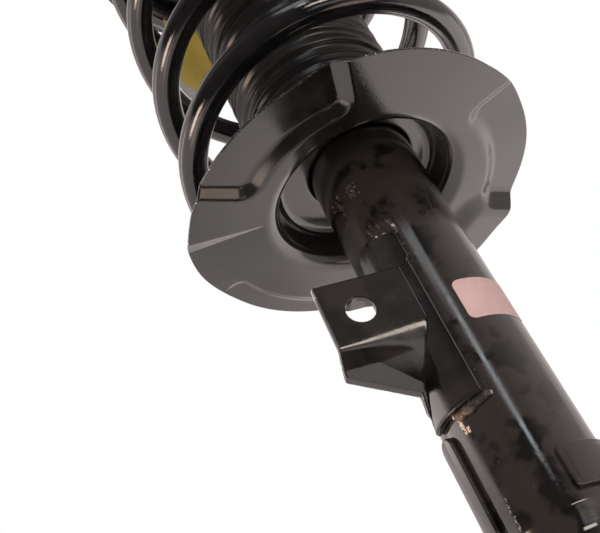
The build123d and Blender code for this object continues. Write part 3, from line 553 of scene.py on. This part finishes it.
def add(tree, kind, values=None, links=None, **settings):
    """A node with its settings, socket values and incoming links."""
    node = tree.nodes.new(kind)
    for key, value in settings.items():
        setattr(node, key, value)
    for key, value in (values or {}).items():
        node.inputs[key].default_value = value
    for key, source in (links or {}).items():
        tree.links.new(source, node.inputs[key])
    return node


def maths(tree, operation, a, b):
    """A Math node; a and b are sockets or numbers."""
    node = tree.nodes.new("ShaderNodeMath")
    node.operation = operation
    for i, value in enumerate((a, b)):
        if isinstance(value, (int, float)):
            node.inputs[i].default_value = value
        else:
            tree.links.new(value, node.inputs[i])
    return node.outputs[0]


def blend(tree, mask, a, b):
    """A colour that goes from a to b as the mask goes from 0 to 1; a and b are sockets or three numbers."""
    node = add(tree, "ShaderNodeMix", {}, {0: mask}, data_type="RGBA")
    for socket, value in ((node.inputs[6], a), (node.inputs[7], b)):
        if isinstance(value, tuple):
            socket.default_value = (*value, 1.0)
        else:
            tree.links.new(value, socket)
    return node.outputs[2]


def span(tree, value, start, end, low=0.0, high=1.0, smooth=False):
    """Turns a value's run from start to end into a run from low to high, held at both ends."""
    values = {"From Min": start, "From Max": end, "To Min": low, "To Max": high}
    kind = "SMOOTHSTEP" if smooth else "LINEAR"
    node = add(tree, "ShaderNodeMapRange", values, {"Value": value}, interpolation_type=kind)
    return node.outputs["Result"]


def blotch_group():
    """Soft patches: noise at a scale, cut between two levels."""
    inputs = {"Scale": 40.0, "From": 0.45, "To": 0.65, "Detail": 4.0}
    group, given, out = new_group("blotches", inputs, ["Mask"])
    noise = add(group, "ShaderNodeTexNoise", {"Roughness": 0.6},
                {name: given.outputs[name] for name in ("Vector", "Scale", "Detail")})
    cut = add(group, "ShaderNodeMapRange", {}, {"Value": noise.outputs["Fac"],
                                                "From Min": given.outputs["From"],
                                                "From Max": given.outputs["To"]})
    group.links.new(cut.outputs["Result"], out.inputs["Mask"])
    return group


def specks_group():
    """Small round specks: the near parts of scattered cells, of which chance keeps only a share."""
    group, given, out = new_group("specks", {"Scale": 700.0, "Size": 0.2, "Share": 0.3}, ["Mask", "Height"])
    cells = add(group, "ShaderNodeTexVoronoi", {"Randomness": 1.0},
                {"Vector": given.outputs["Vector"], "Scale": given.outputs["Scale"]})
    near = maths(group, "SUBTRACT", given.outputs["Size"], cells.outputs["Distance"])
    near = maths(group, "DIVIDE", near, given.outputs["Size"])
    near = add(group, "ShaderNodeClamp", {}, {"Value": near}).outputs["Result"]
    pick = add(group, "ShaderNodeSeparateColor", {}, {"Color": cells.outputs["Color"]})
    chosen = maths(group, "LESS_THAN", pick.outputs["Red"], given.outputs["Share"])
    height = maths(group, "MULTIPLY", near, chosen)
    group.links.new(height, out.inputs["Height"])
    group.links.new(span(group, height, 0.0, 0.4), out.inputs["Mask"])
    return group


BLOTCHES = blotch_group()
SPECKS = specks_group()


# ---- finishes ------------------------------------------------------------------------------------
class Finish:
    """A material under construction: its tree, its Principled shader and its object coordinates."""

    def __init__(self, name, **shader):
        self.material = bpy.data.materials.new(name)
        self.material.use_nodes = True
        self.tree = self.material.node_tree
        self.shader = self.tree.nodes["Principled BSDF"]
        for key, value in shader.items():
            self.shader.inputs[key.replace("_", " ")].default_value = value
        self.place = add(self.tree, "ShaderNodeTexCoord").outputs["Object"]

    def group(self, group, **values):
        return add(self.tree, "ShaderNodeGroup", values, {"Vector": self.place}, node_tree=group)

    def blotches(self, scale, start, end, detail=4.0):
        return self.group(BLOTCHES, Scale=scale, From=start, To=end, Detail=detail).outputs["Mask"]

    def mix(self, mask, a, b):
        return blend(self.tree, mask, a, b)

    def between(self, mask, a, b):
        return span(self.tree, mask, 0.0, 1.0, a, b)

    def feed(self, **sockets):
        for key, source in sockets.items():
            self.tree.links.new(source, self.shader.inputs[key.replace("_", " ")])
        return self

    def bump(self, height, strength, distance, below=None):
        links = {"Height": height} if below is None else {"Height": height, "Normal": below}
        values = {"Strength": strength, "Distance": distance}
        return add(self.tree, "ShaderNodeBump", values, links).outputs["Normal"]


def enamel(name, dark, dusty, roughness, haze_scale, film=(0.42, 0.72), wave=0.0):
    """Glossy black enamel: a thin brownish film in patches, slow waves, fine orange peel and a few specks."""
    finish = Finish(name, IOR=1.8)
    haze = finish.blotches(haze_scale, *film)
    specks = finish.group(SPECKS, Scale=420.0, Size=0.16, Share=0.10)
    colour = finish.mix(haze, dark, dusty)
    peel = finish.blotches(900.0, 0.3, 0.7)
    normal = finish.bump(peel, 0.035, 0.0004)
    if wave:
        slow = finish.blotches(22.0, 0.0, 1.0, 0.0)
        normal = finish.bump(slow, wave, 0.002, normal)
    normal = finish.bump(specks.outputs["Height"], 0.25, 0.0003, normal)
    rough = finish.between(haze, roughness, roughness + 0.10)
    return finish.feed(Base_Color=colour, Roughness=rough, Normal=normal).material


def rubber(name, dark, light, roughness):
    """Black rubber: faintly mottled, with a fine grain."""
    finish = Finish(name)
    mottle = finish.blotches(160.0, 0.35, 0.7)
    grain = finish.blotches(2400.0, 0.3, 0.7)
    colour = finish.mix(mottle, dark, light)
    rough = finish.between(mottle, roughness - 0.02, roughness + 0.03)
    return finish.feed(Base_Color=colour, Roughness=rough, Normal=finish.bump(grain, 0.008, 0.0002)).material


def metal(name, dark, light, rough_low, rough_high, scale=300.0, metallic=1.0, bump=0.05):
    """Bare or plated steel: cloudy tone and roughness, with a fine tooth."""
    finish = Finish(name, Metallic=metallic)
    cloud = finish.blotches(scale, 0.3, 0.7)
    tooth = finish.blotches(scale * 8, 0.3, 0.7)
    colour = finish.mix(cloud, dark, light)
    rough = finish.between(cloud, rough_low, rough_high)
    return finish.feed(Base_Color=colour, Roughness=rough, Normal=finish.bump(tooth, bump, 0.0002)).material


def foam(name):
    """Cream foam: small pores under a dull skin, the pores painted darker as painted shade."""
    finish = Finish(name)
    pores = finish.group(SPECKS, Scale=900.0, Size=0.4, Share=0.8)
    # Darker inside the pores: painted shade.
    colour = finish.mix(pores.outputs["Mask"], (0.62, 0.54, 0.33), (0.36, 0.29, 0.15))
    return finish.feed(Base_Color=colour, Roughness=finish.between(pores.outputs["Mask"], 0.8, 0.95),
                       Normal=finish.bump(pores.outputs["Height"], -0.5, 0.0005)).material


def weld_metal(name):
    """Painted-over weld with coppery metallic patches at the bead's outer end, a painted warm glint."""
    finish = Finish(name, IOR=1.8)
    across = add(finish.tree, "ShaderNodeSeparateXYZ", {}, {0: finish.place}).outputs["X"]
    outer = span(finish.tree, across, -0.0175, -0.0215)
    patches = finish.blotches(900.0, 0.44, 0.58)
    # Coppery patches at the bead's outer end: a painted warm glint.
    warm_glint = maths(finish.tree, "MULTIPLY", patches, outer)
    crust = finish.blotches(1500.0, 0.3, 0.7)
    colour = finish.mix(warm_glint, (0.012, 0.010, 0.009), (0.30, 0.19, 0.13))
    return finish.feed(Base_Color=colour, Metallic=warm_glint, Roughness=finish.between(crust, 0.22, 0.5),
                       Normal=finish.bump(crust, 0.35, 0.0004)).material


def paper(name, plain, faded, band_colour=None):
    """Coated paper: a faint mottle and fibre, and another colour where an attribute marks a band."""
    finish = Finish(name)
    mottle = finish.blotches(260.0, 0.3, 0.75)
    fibre = finish.blotches(2600.0, 0.3, 0.7)
    colour = finish.mix(mottle, plain, faded)
    if band_colour:
        band = add(finish.tree, "ShaderNodeAttribute", attribute_name="band").outputs["Fac"]
        colour = finish.mix(maths(finish.tree, "GREATER_THAN", band, 0.5), colour, band_colour)
    return finish.feed(Base_Color=colour, Roughness=finish.between(mottle, 0.45, 0.60),
                       Normal=finish.bump(fibre, 0.08, 0.0002)).material


def worn_and_glinting_edge(material, attribute, share, colour):
    """Bright metal specks along the faces an attribute marks: unpainted sheared steel, partly painted glints.
    """
    tree = material.node_tree
    shader = tree.nodes["Principled BSDF"]
    marked = add(tree, "ShaderNodeAttribute", attribute_name=attribute).outputs["Fac"]
    noise = add(tree, "ShaderNodeGroup", {"Scale": 1100.0, "From": share, "To": share + 0.05},
                {"Vector": add(tree, "ShaderNodeTexCoord").outputs["Object"]}, node_tree=BLOTCHES)
    # Bright specks on the marked faces: unpainted steel, partly a painted glint along the edge.
    worn_and_glint = maths(tree, "MULTIPLY", marked, noise.outputs["Mask"])
    below = shader.inputs["Base Color"].links[0].from_socket
    tree.links.new(blend(tree, worn_and_glint, below, colour), shader.inputs["Base Color"])
    tree.links.new(worn_and_glint, shader.inputs["Metallic"])


ENAMEL = enamel("black_enamel", (0.005, 0.0043, 0.0040), (0.021, 0.016, 0.0138), 0.07, 42.0,
                (0.43, 0.50), 0.10)
SEAT_ENAMEL = enamel("seat_enamel", (0.005, 0.0045, 0.0040), (0.012, 0.0105, 0.0090), 0.07, 30.0,
                     (0.42, 0.60), 0.35)
# The seat's rim edge gets bright specks, partly painted glints.
worn_and_glinting_edge(SEAT_ENAMEL, "sheared", 0.60, (0.75, 0.70, 0.66))
SHEET_ENAMEL = enamel("bracket_enamel", (0.003, 0.0027, 0.0024), (0.014, 0.0105, 0.0085), 0.08, 36.0,
                      (0.50, 0.62))
# The plate's outer top edge gets bright specks, partly painted glints.
worn_and_glinting_edge(SHEET_ENAMEL, "sheared", 0.50, (0.80, 0.76, 0.72))
COIL_ENAMEL = enamel("spring_enamel", (0.0035, 0.0034, 0.0038), (0.008, 0.007, 0.0065), 0.08, 80.0)
# Weld: its coppery patches at the outer end are a painted warm glint.
WELD = weld_metal("weld_with_warm_glint")
# Bright copper for the weld drops: their colour is a painted glint.
GLINT_COPPER = metal("drop_glint_copper", (0.60, 0.42, 0.31), (1.0, 0.86, 0.74), 0.35, 0.6, 900.0, 0.35, 0.2)
LABEL = paper("blank_label", (0.47, 0.29, 0.27), (0.53, 0.34, 0.32))
TAG = paper("tag_paper", (0.95, 0.64, 0.10), (1.0, 0.74, 0.20), (0.80, 0.76, 0.75))
RUBBER = rubber("black_rubber", (0.008, 0.0075, 0.007), (0.014, 0.012, 0.011), 0.24)
ZINC = metal("zinc_plate", (0.50, 0.49, 0.45), (0.66, 0.65, 0.60), 0.28, 0.45)
CHROME = metal("hard_chrome", (0.72, 0.72, 0.73), (0.80, 0.80, 0.81), 0.06, 0.14, bump=0.01)
STEEL = metal("bare_steel", (0.35, 0.34, 0.33), (0.48, 0.47, 0.46), 0.3, 0.5)
IRON = metal("sintered_iron", (0.16, 0.155, 0.15), (0.26, 0.25, 0.24), 0.5, 0.7, bump=0.3)
BRONZE = metal("bush_bronze", (0.45, 0.30, 0.13), (0.60, 0.42, 0.20), 0.3, 0.45)
BAND = rubber("band_plastic", (0.16, 0.13, 0.10), (0.22, 0.19, 0.15), 0.45)
FOAM = foam("cream_foam")

NODE_FINISH = {
    ENAMEL: ("strut_tube", "base_cap", "lower_spring_seat", "link_bracket", "weld_beads", "locating_key",
             "tube_pad", "upper_spring_seat", "mount_plate"),
    COIL_ENAMEL: ("coil_spring",),
    RUBBER: ("dust_boot", "rod_seal", "upper_insulator", "mount_rubber"),
    ZINC: ("striker_cap", "bump_stop_cup", "piston_nut", "mount_studs", "mount_sleeve", "rod_washer",
           "rod_nut"),
    CHROME: ("piston_rod", "bearing_lower_race", "bearing_upper_race", "bearing_balls"),
    STEEL: ("pressure_tube", "rebound_stop"),
    IRON: ("base_valve", "rod_guide", "piston"),
    BRONZE: ("guide_bush",),
    BAND: ("piston_band",),
    FOAM: ("bump_stop",),
}
for finish, nodes in NODE_FINISH.items():
    for node in nodes:
        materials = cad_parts[node].data.materials
        materials.clear()
        materials.append(finish)

# ---- pieces --------------------------------------------------------------------------------------
def squash_along(obj):
    """Gives the object its own copy of its mesh."""
    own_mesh(obj)


def mark(obj, name, rule):
    """Stores a value from 0 to 1 at each vertex, worked out from its place in millimetres."""
    count = len(obj.data.vertices)
    place = np.empty(count * 3)
    obj.data.vertices.foreach_get("co", place)
    values = rule(place.reshape(-1, 3) / MM).astype(float)
    obj.data.attributes.new(name, "FLOAT", "POINT").data.foreach_set("value", values)


def on_rim(place):
    """True on the sheared edge of the seat's rim."""
    x, y = place[:, 0] - SEAT_CENTRE[0], place[:, 1] - SEAT_CENTRE[1]
    return np.hypot(x, y) > rim_radius(np.degrees(np.arctan2(y, x))) - 0.2


seat = piece("spring_seat", "tube", seat_dish(), SEAT_ENAMEL, wrap=CLOSED)
# The rim's edge is marked for bright specks, partly painted glints.
mark(seat, "sheared", on_rim)
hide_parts("lower_spring_seat")

spring = piece("spring_coil", "tube", coil(), COIL_ENAMEL)
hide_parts("coil_spring")
squash_along(spring)

bellows = piece("boot_bellows", "tube", boot(), RUBBER, wrap=CLOSED)
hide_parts("dust_boot")
squash_along(bellows)


def cut_hole(obj):
    """Cuts the link's hole with a turned cutter that flares at both faces, so that its edges are bevelled."""
    past, bevel = 4.2, 0.4
    near, far, flare = PLATE_FACE + past, PLATE_FACE - SHEET - past, past + bevel
    profile = np.array([(0, near), (HOLE_R + flare, near), (HOLE_R, near - flare), (HOLE_R, far + flare),
                        (HOLE_R + flare, far), (0, far)])
    angle = np.linspace(0, 360, 64, endpoint=False)[:, None]
    ring = polar(profile[None, :, 0], angle, profile[None, :, 1], (HOLE_X, HOLE_Z))
    cutter = piece("hole_cutter", "tube", ring[..., [0, 2, 1]] * (-1, -1, 1), wrap=(True, False))
    modifier = obj.modifiers.new("hole", "BOOLEAN")
    modifier.operation, modifier.solver, modifier.object = "DIFFERENCE", "EXACT", cutter
    bpy.context.view_layer.update()
    done = bpy.data.meshes.new_from_object(obj.evaluated_get(bpy.context.evaluated_depsgraph_get()))
    obj.modifiers.clear()
    obj.data = done
    bpy.data.objects.remove(cutter, do_unlink=True)
    obj.data.polygons.foreach_set("use_smooth", np.ones(len(obj.data.polygons), bool))
    obj.data.set_sharp_from_angle(angle=SHARP_ANGLE)


# Plates on the tube: first and last angle, lowest and highest level.
TAB_SPOT = (18.0, 63.0, PLATE_TOP - 1.0, 135.0)
LABEL_SPOT = (83, 152, 79.5, 99)
KEY_SPOT = (-9, 14, KEY_LOW[2], KEY_HIGH[2] + 3.5)
PAD_SPOT = (87, 152, PAD_LOW[2] - 0.4, PAD_HIGH[2])
RIDGE_SPOT = (91, 149, PAD_LOW[2] + 1.2, PAD_HIGH[2] - 2.0)

sheet = piece("bracket_sheet", "tube", bracket_sheet(), SHEET_ENAMEL)
cut_hole(sheet)
# The plate's outer top corner is marked for bright specks, partly a painted glint.
mark(sheet, "sheared", lambda place: (place[:, 0] < 0.5 - PLATE_END) & (place[:, 2] > PLATE_TOP - 6))
piece("bracket_tab", "tube", wall_plate(*TAB_SPOT, SHEET, 5.0, 0.5), SHEET_ENAMEL)
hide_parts("link_bracket")

beads = piece("weld_lower", "tube", weld_line(27, 66, 48.4, 2.1, 1.0), WELD)
piece("weld_upper", "tube", weld_line(41, 67, 137.6, 6.4, 3.0), ENAMEL)
piece("weld_collar", "tube", weld_ring(SEAT_TOP + 1.0, 2.3), ENAMEL, wrap=CLOSED)
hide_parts("weld_beads")
# Drops: middle angle and height, spread of each, size and count.
CRUMBS = ((22, 51.8, 2.5, 1.3, 0.30, 30), (28, 50.5, 3.5, 1.4, 0.32, 60), (33, 49.3, 3.5, 1.2, 0.28, 30),
          (29, 45.5, 1.8, 2.6, 0.28, 50), (32, 41.8, 3.5, 1.2, 0.26, 40), (65, 49.0, 2.2, 0.8, 0.24, 26),
          (56, 50.2, 7, 0.8, 0.16, 24))
DROPS = ((26, 165, 5, 4, 0.09, 22), (46, 164, 6, 4, 0.10, 34), (22, 158, 3, 5, 0.09, 12),
         (12, 167, 2, 2, 0.10, 6), (32, 8, 1.2, 7, 0.16, 22), (50, 30, 30, 30, 0.08, 16),
         (61, 122, 3, 4, 0.14, 14))
# The drops' bright copper colour is a painted glint.
for name, spots in (("weld_crumbs", CRUMBS), ("weld_spatter", DROPS)):
    points, quads = spatter([spot[:5] for spot in spots for _ in range(spot[5])], 7)
    from_faces(name, "tube", points, quads, GLINT_COPPER)

piece("plain_label", "tube", wall_plate(*LABEL_SPOT, 0.12, 3.0, 0.05, TUBE_R + 0.03), LABEL)
key = piece("key_strip", "tube", wall_plate(*KEY_SPOT, 2.55, 5.0, 0.8), ENAMEL)
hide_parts("locating_key")
pad = piece("foot_pad", "tube", wall_plate(*PAD_SPOT, 2.45, 1.2, 0.5), ENAMEL)
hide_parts("tube_pad")
piece("pad_ridge", "tube", wall_plate(*RIDGE_SPOT, 0.35, 1.0, 0.3, TUBE_R + 2.4), ENAMEL)


def card(low, high, right, left, radius, thick=0.25):
    """A thin card curved round the rod's axis, each upright edge slanting from its foot's angle to its top's:
    radius + a small sine of the angle, its two faces and its edges as one closed loop of height."""
    rise = np.concatenate([np.linspace(low, high, 30), np.linspace(high, low, 30)])[None]
    share = (rise - low) / (high - low)
    across = np.linspace(0, 1, 40)[:, None]
    first, last = right[0] + (right[1] - right[0]) * share, left[0] + (left[1] - left[0]) * share
    angle = first + (last - first) * across
    wavy_r = radius + 0.5 * np.sin(np.radians(angle * 5))
    grid = polar(wavy_r + np.repeat([0.0, thick], 30)[None], angle, rise)
    middle = polar(wavy_r + thick / 2, angle, rise)
    return np.concatenate([middle[:1], grid, middle[-1:]])


TAG_LOW, TAG_HIGH, TAG_BAND, TAG_R = 309.5, 398, 322, 63.6
tag = piece("spring_tag", "tube", card(TAG_LOW, TAG_HIGH, (136, 96), (154, 136), TAG_R), TAG)
mark(tag, "band", lambda place: place[:, 2] < TAG_BAND)
squash_along(tag)

# Half section of the tube: outside from the spigot's foot to the lip, then back down inside; and its corners.
FOOT_Z, NECK_Z, LIP_Z, LIP_UNDER = TUBE_LOW[2], -8, TUBE_HIGH[2], TUBE_HIGH[2] - 2
SPIGOT_BORE, TUBE_BORE, LIP_R = SPIGOT_R - TUBE_WALL, TUBE_R - TUBE_WALL, 18
TUBE_LINE = [(SPIGOT_BORE, FOOT_Z), (SPIGOT_R, FOOT_Z), (SPIGOT_R, NECK_Z), (TUBE_R, 0), (TUBE_R, LIP_Z),
             (LIP_R, LIP_Z), (LIP_R, LIP_UNDER), (TUBE_BORE, LIP_UNDER), (TUBE_BORE, 0),
             (SPIGOT_BORE, NECK_Z)]
TUBE_CORNERS = [0.3, 0.8, 8, 2.5, 2.5, 0.5, 0.3, 0.3, 2, 6]
tube = piece("damper_tube", "tube", turned(TUBE_LINE, TUBE_CORNERS), ENAMEL, wrap=CLOSED)
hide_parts("strut_tube")


# ---- light, floor and camera ---------------------------------------------------------------------
WHITE = (1.0, 1.0, 1.0)


def lamp(name, place, aim, size, radiance, colour, seen_in_gloss=True, lights=True):
    """A soft rectangular lamp, its power = radiance x pi x area. It may light, show in gloss, or both."""
    data = bpy.data.lights.new(name, "AREA")
    data.shape = "RECTANGLE"
    data.size, data.size_y = size
    data.energy = radiance * math.pi * size[0] * size[1]
    data.color = colour
    obj = new_object(name, data)
    obj.location = place
    obj.rotation_euler = (Vector(aim) - Vector(place)).to_track_quat("-Z", "Y").to_euler()
    obj.visible_camera = False
    obj.visible_glossy = seen_in_gloss
    obj.visible_diffuse = lights


def studio_world():
    """White to the camera. To gloss, a white sweep behind and a dark room in front. To the rest, grey."""
    world = bpy.data.worlds.new("studio")
    bpy.context.scene.world = world
    world.use_nodes = True
    tree = world.node_tree
    path = add(tree, "ShaderNodeLightPath")
    direction = add(tree, "ShaderNodeTexCoord").outputs["Generated"]
    x, y, z = add(tree, "ShaderNodeSeparateXYZ", {}, {0: direction}).outputs
    back = span(tree, y, 0.0, 0.16, smooth=True)
    side = span(tree, x, -0.02, 0.95, 0.0, 0.68)
    left = span(tree, x, -0.3, -0.75, 0.0, 0.26)
    high = span(tree, z, 0.3, 0.55, smooth=True)
    level = maths(tree, "MAXIMUM", maths(tree, "MAXIMUM", back, side), maths(tree, "MULTIPLY", left, high))
    level = maths(tree, "MAXIMUM", level, 0.07)
    green, blue = maths(tree, "MULTIPLY", level, 0.89), maths(tree, "MULTIPLY", level, 0.865)
    gloss = add(tree, "ShaderNodeCombineColor", {}, {"Red": level, "Green": green, "Blue": blue}).outputs[0]
    unseen = blend(tree, path.outputs["Is Glossy Ray"], (0.62, 0.61, 0.60), gloss)
    seen = maths(tree, "MAXIMUM", path.outputs["Is Camera Ray"], path.outputs["Is Transmission Ray"])
    tree.links.new(blend(tree, seen, unseen, WHITE), tree.nodes["Background"].inputs["Color"])


def floor():
    """A wide pale floor under the part: white to the camera but for the shadow, its back half bright to
    gloss."""
    half, depth = 30000.0, -360.0
    across = np.linspace(-half, half, 9)
    points = np.stack(np.meshgrid(across, across, [depth], indexing="ij"), axis=-1)
    mesh = bpy.data.meshes.new("floor")
    mesh.from_pydata((points.reshape(-1, 3) * MM).tolist(), [], grid_quads(9, 9, (False, False)).tolist())
    finish = Finish("pale_floor", Base_Color=(0.8, 0.79, 0.78, 1), Roughness=0.9, Specular_IOR_Level=0.1)
    tree = finish.tree
    path = add(tree, "ShaderNodeLightPath")
    x, y, _ = add(tree, "ShaderNodeSeparateXYZ", {}, {0: finish.place}).outputs
    behind = maths(tree, "MULTIPLY", span(tree, y, -0.1, 0.15, 0.04, 1.0, smooth=True),
                   span(tree, x, 0.0, 0.5, 0.9, 1.85))
    beside = span(tree, x, 0.4, 0.65, 0.05, 0.6, smooth=True)
    glow = add(tree, "ShaderNodeEmission", {"Color": (1.0, 0.90, 0.875, 1)},
               {"Strength": maths(tree, "MAXIMUM", behind, beside)})
    lit = add(tree, "ShaderNodeMixShader", {}, {0: path.outputs["Is Glossy Ray"], 1: finish.shader.outputs[0],
                                                2: glow.outputs[0]})
    lift = add(tree, "ShaderNodeEmission", {"Color": (*WHITE, 1.0), "Strength": 0.42})
    lifted = add(tree, "ShaderNodeAddShader", {}, {0: lit.outputs[0], 1: lift.outputs[0]})
    final = add(tree, "ShaderNodeMixShader", {}, {0: path.outputs["Is Camera Ray"], 1: lit.outputs[0],
                                                  2: lifted.outputs[0]})
    tree.links.new(final.outputs[0], tree.nodes["Material Output"].inputs["Surface"])
    mesh.materials.append(finish.material)
    obj = new_object("floor", mesh)


def camera():
    """Below the part on its left, looking up along the tube, with the tube leaning to the left."""
    look = Vector((0.2422, 0.7557, 0.6085)).normalized()
    up = Vector((0.2365, -0.6542, 0.7184)).normalized()
    right = look.cross(up).normalized()
    data = bpy.data.cameras.new("camera")
    data.sensor_width = 36.0
    data.lens = 58.52
    data.clip_start = 0.01
    data.clip_end = 50.0
    obj = new_object("camera", data)
    turn = Matrix((right, right.cross(look), -look)).transposed().to_4x4()
    obj.matrix_world = Matrix.Translation(Vector((-0.1488, -0.3148, -0.1087))) @ turn
    bpy.context.scene.camera = obj


AIM, SEAT_AIM, SKIRT_AIM = (0, 0, 0.1), (0, 0, 0.2), (0, 0, 0.055)
WARM = (1.0, 0.76, 0.62)
studio_world()
floor()
lamp("cool_strip", (-0.09, -1.155, 0.646), AIM, (0.12, 0.34), 3.6, (0.90, 0.96, 1.0))
lamp("cool_sky", (-0.12, -0.843, 1.054), AIM, (0.32, 0.69), 1.2, (0.92, 0.96, 1.0))
# Cards that only show in gloss.
for name, place, aim, size, radiance, colour in (
        ("warm_box", (0.24, -0.195, -0.27), AIM, (0.19, 0.16), 1.6, (1.0, 0.76, 0.64)),
        ("grey_card", (0.22, -0.72, -0.275), AIM, (0.36, 0.20), 0.85, (1.0, 0.94, 0.91)),
        ("warm_left", (-0.98, 0.02, -0.22), SEAT_AIM, (0.30, 0.30), 8.0, WARM),
        ("warm_mid", (0.02, -0.16, -0.32), SEAT_AIM, (0.12, 0.12), 1.0, WARM),
        ("warm_low", (-0.52, 0.08, -0.31), SEAT_AIM, (0.24, 0.24), 1.1, WARM),
        ("side_card", (-0.82, 0.55, 0.56), SKIRT_AIM, (0.80, 0.18), 1.3, (1.0, 0.88, 0.80)),
        ("cream_bar", (0.26, -1.40, 0.05), AIM, (0.60, 0.30), 6.0, (1.0, 0.88, 0.76))):
    lamp(name, place, aim, size, radiance, colour, lights=False)
# Fills that only light.
lamp("left_fill", (-0.8, -1.0, -0.12), (0, 0, 0.3), (0.8, 0.8), 5.5, (1.0, 0.96, 0.93), seen_in_gloss=False)
lamp("front_fill", (0.5, -1.6, 0.5), AIM, (1.6, 1.6), 1.2, WHITE, seen_in_gloss=False)
camera()
bpy.context.scene.view_settings.view_transform = "Standard"
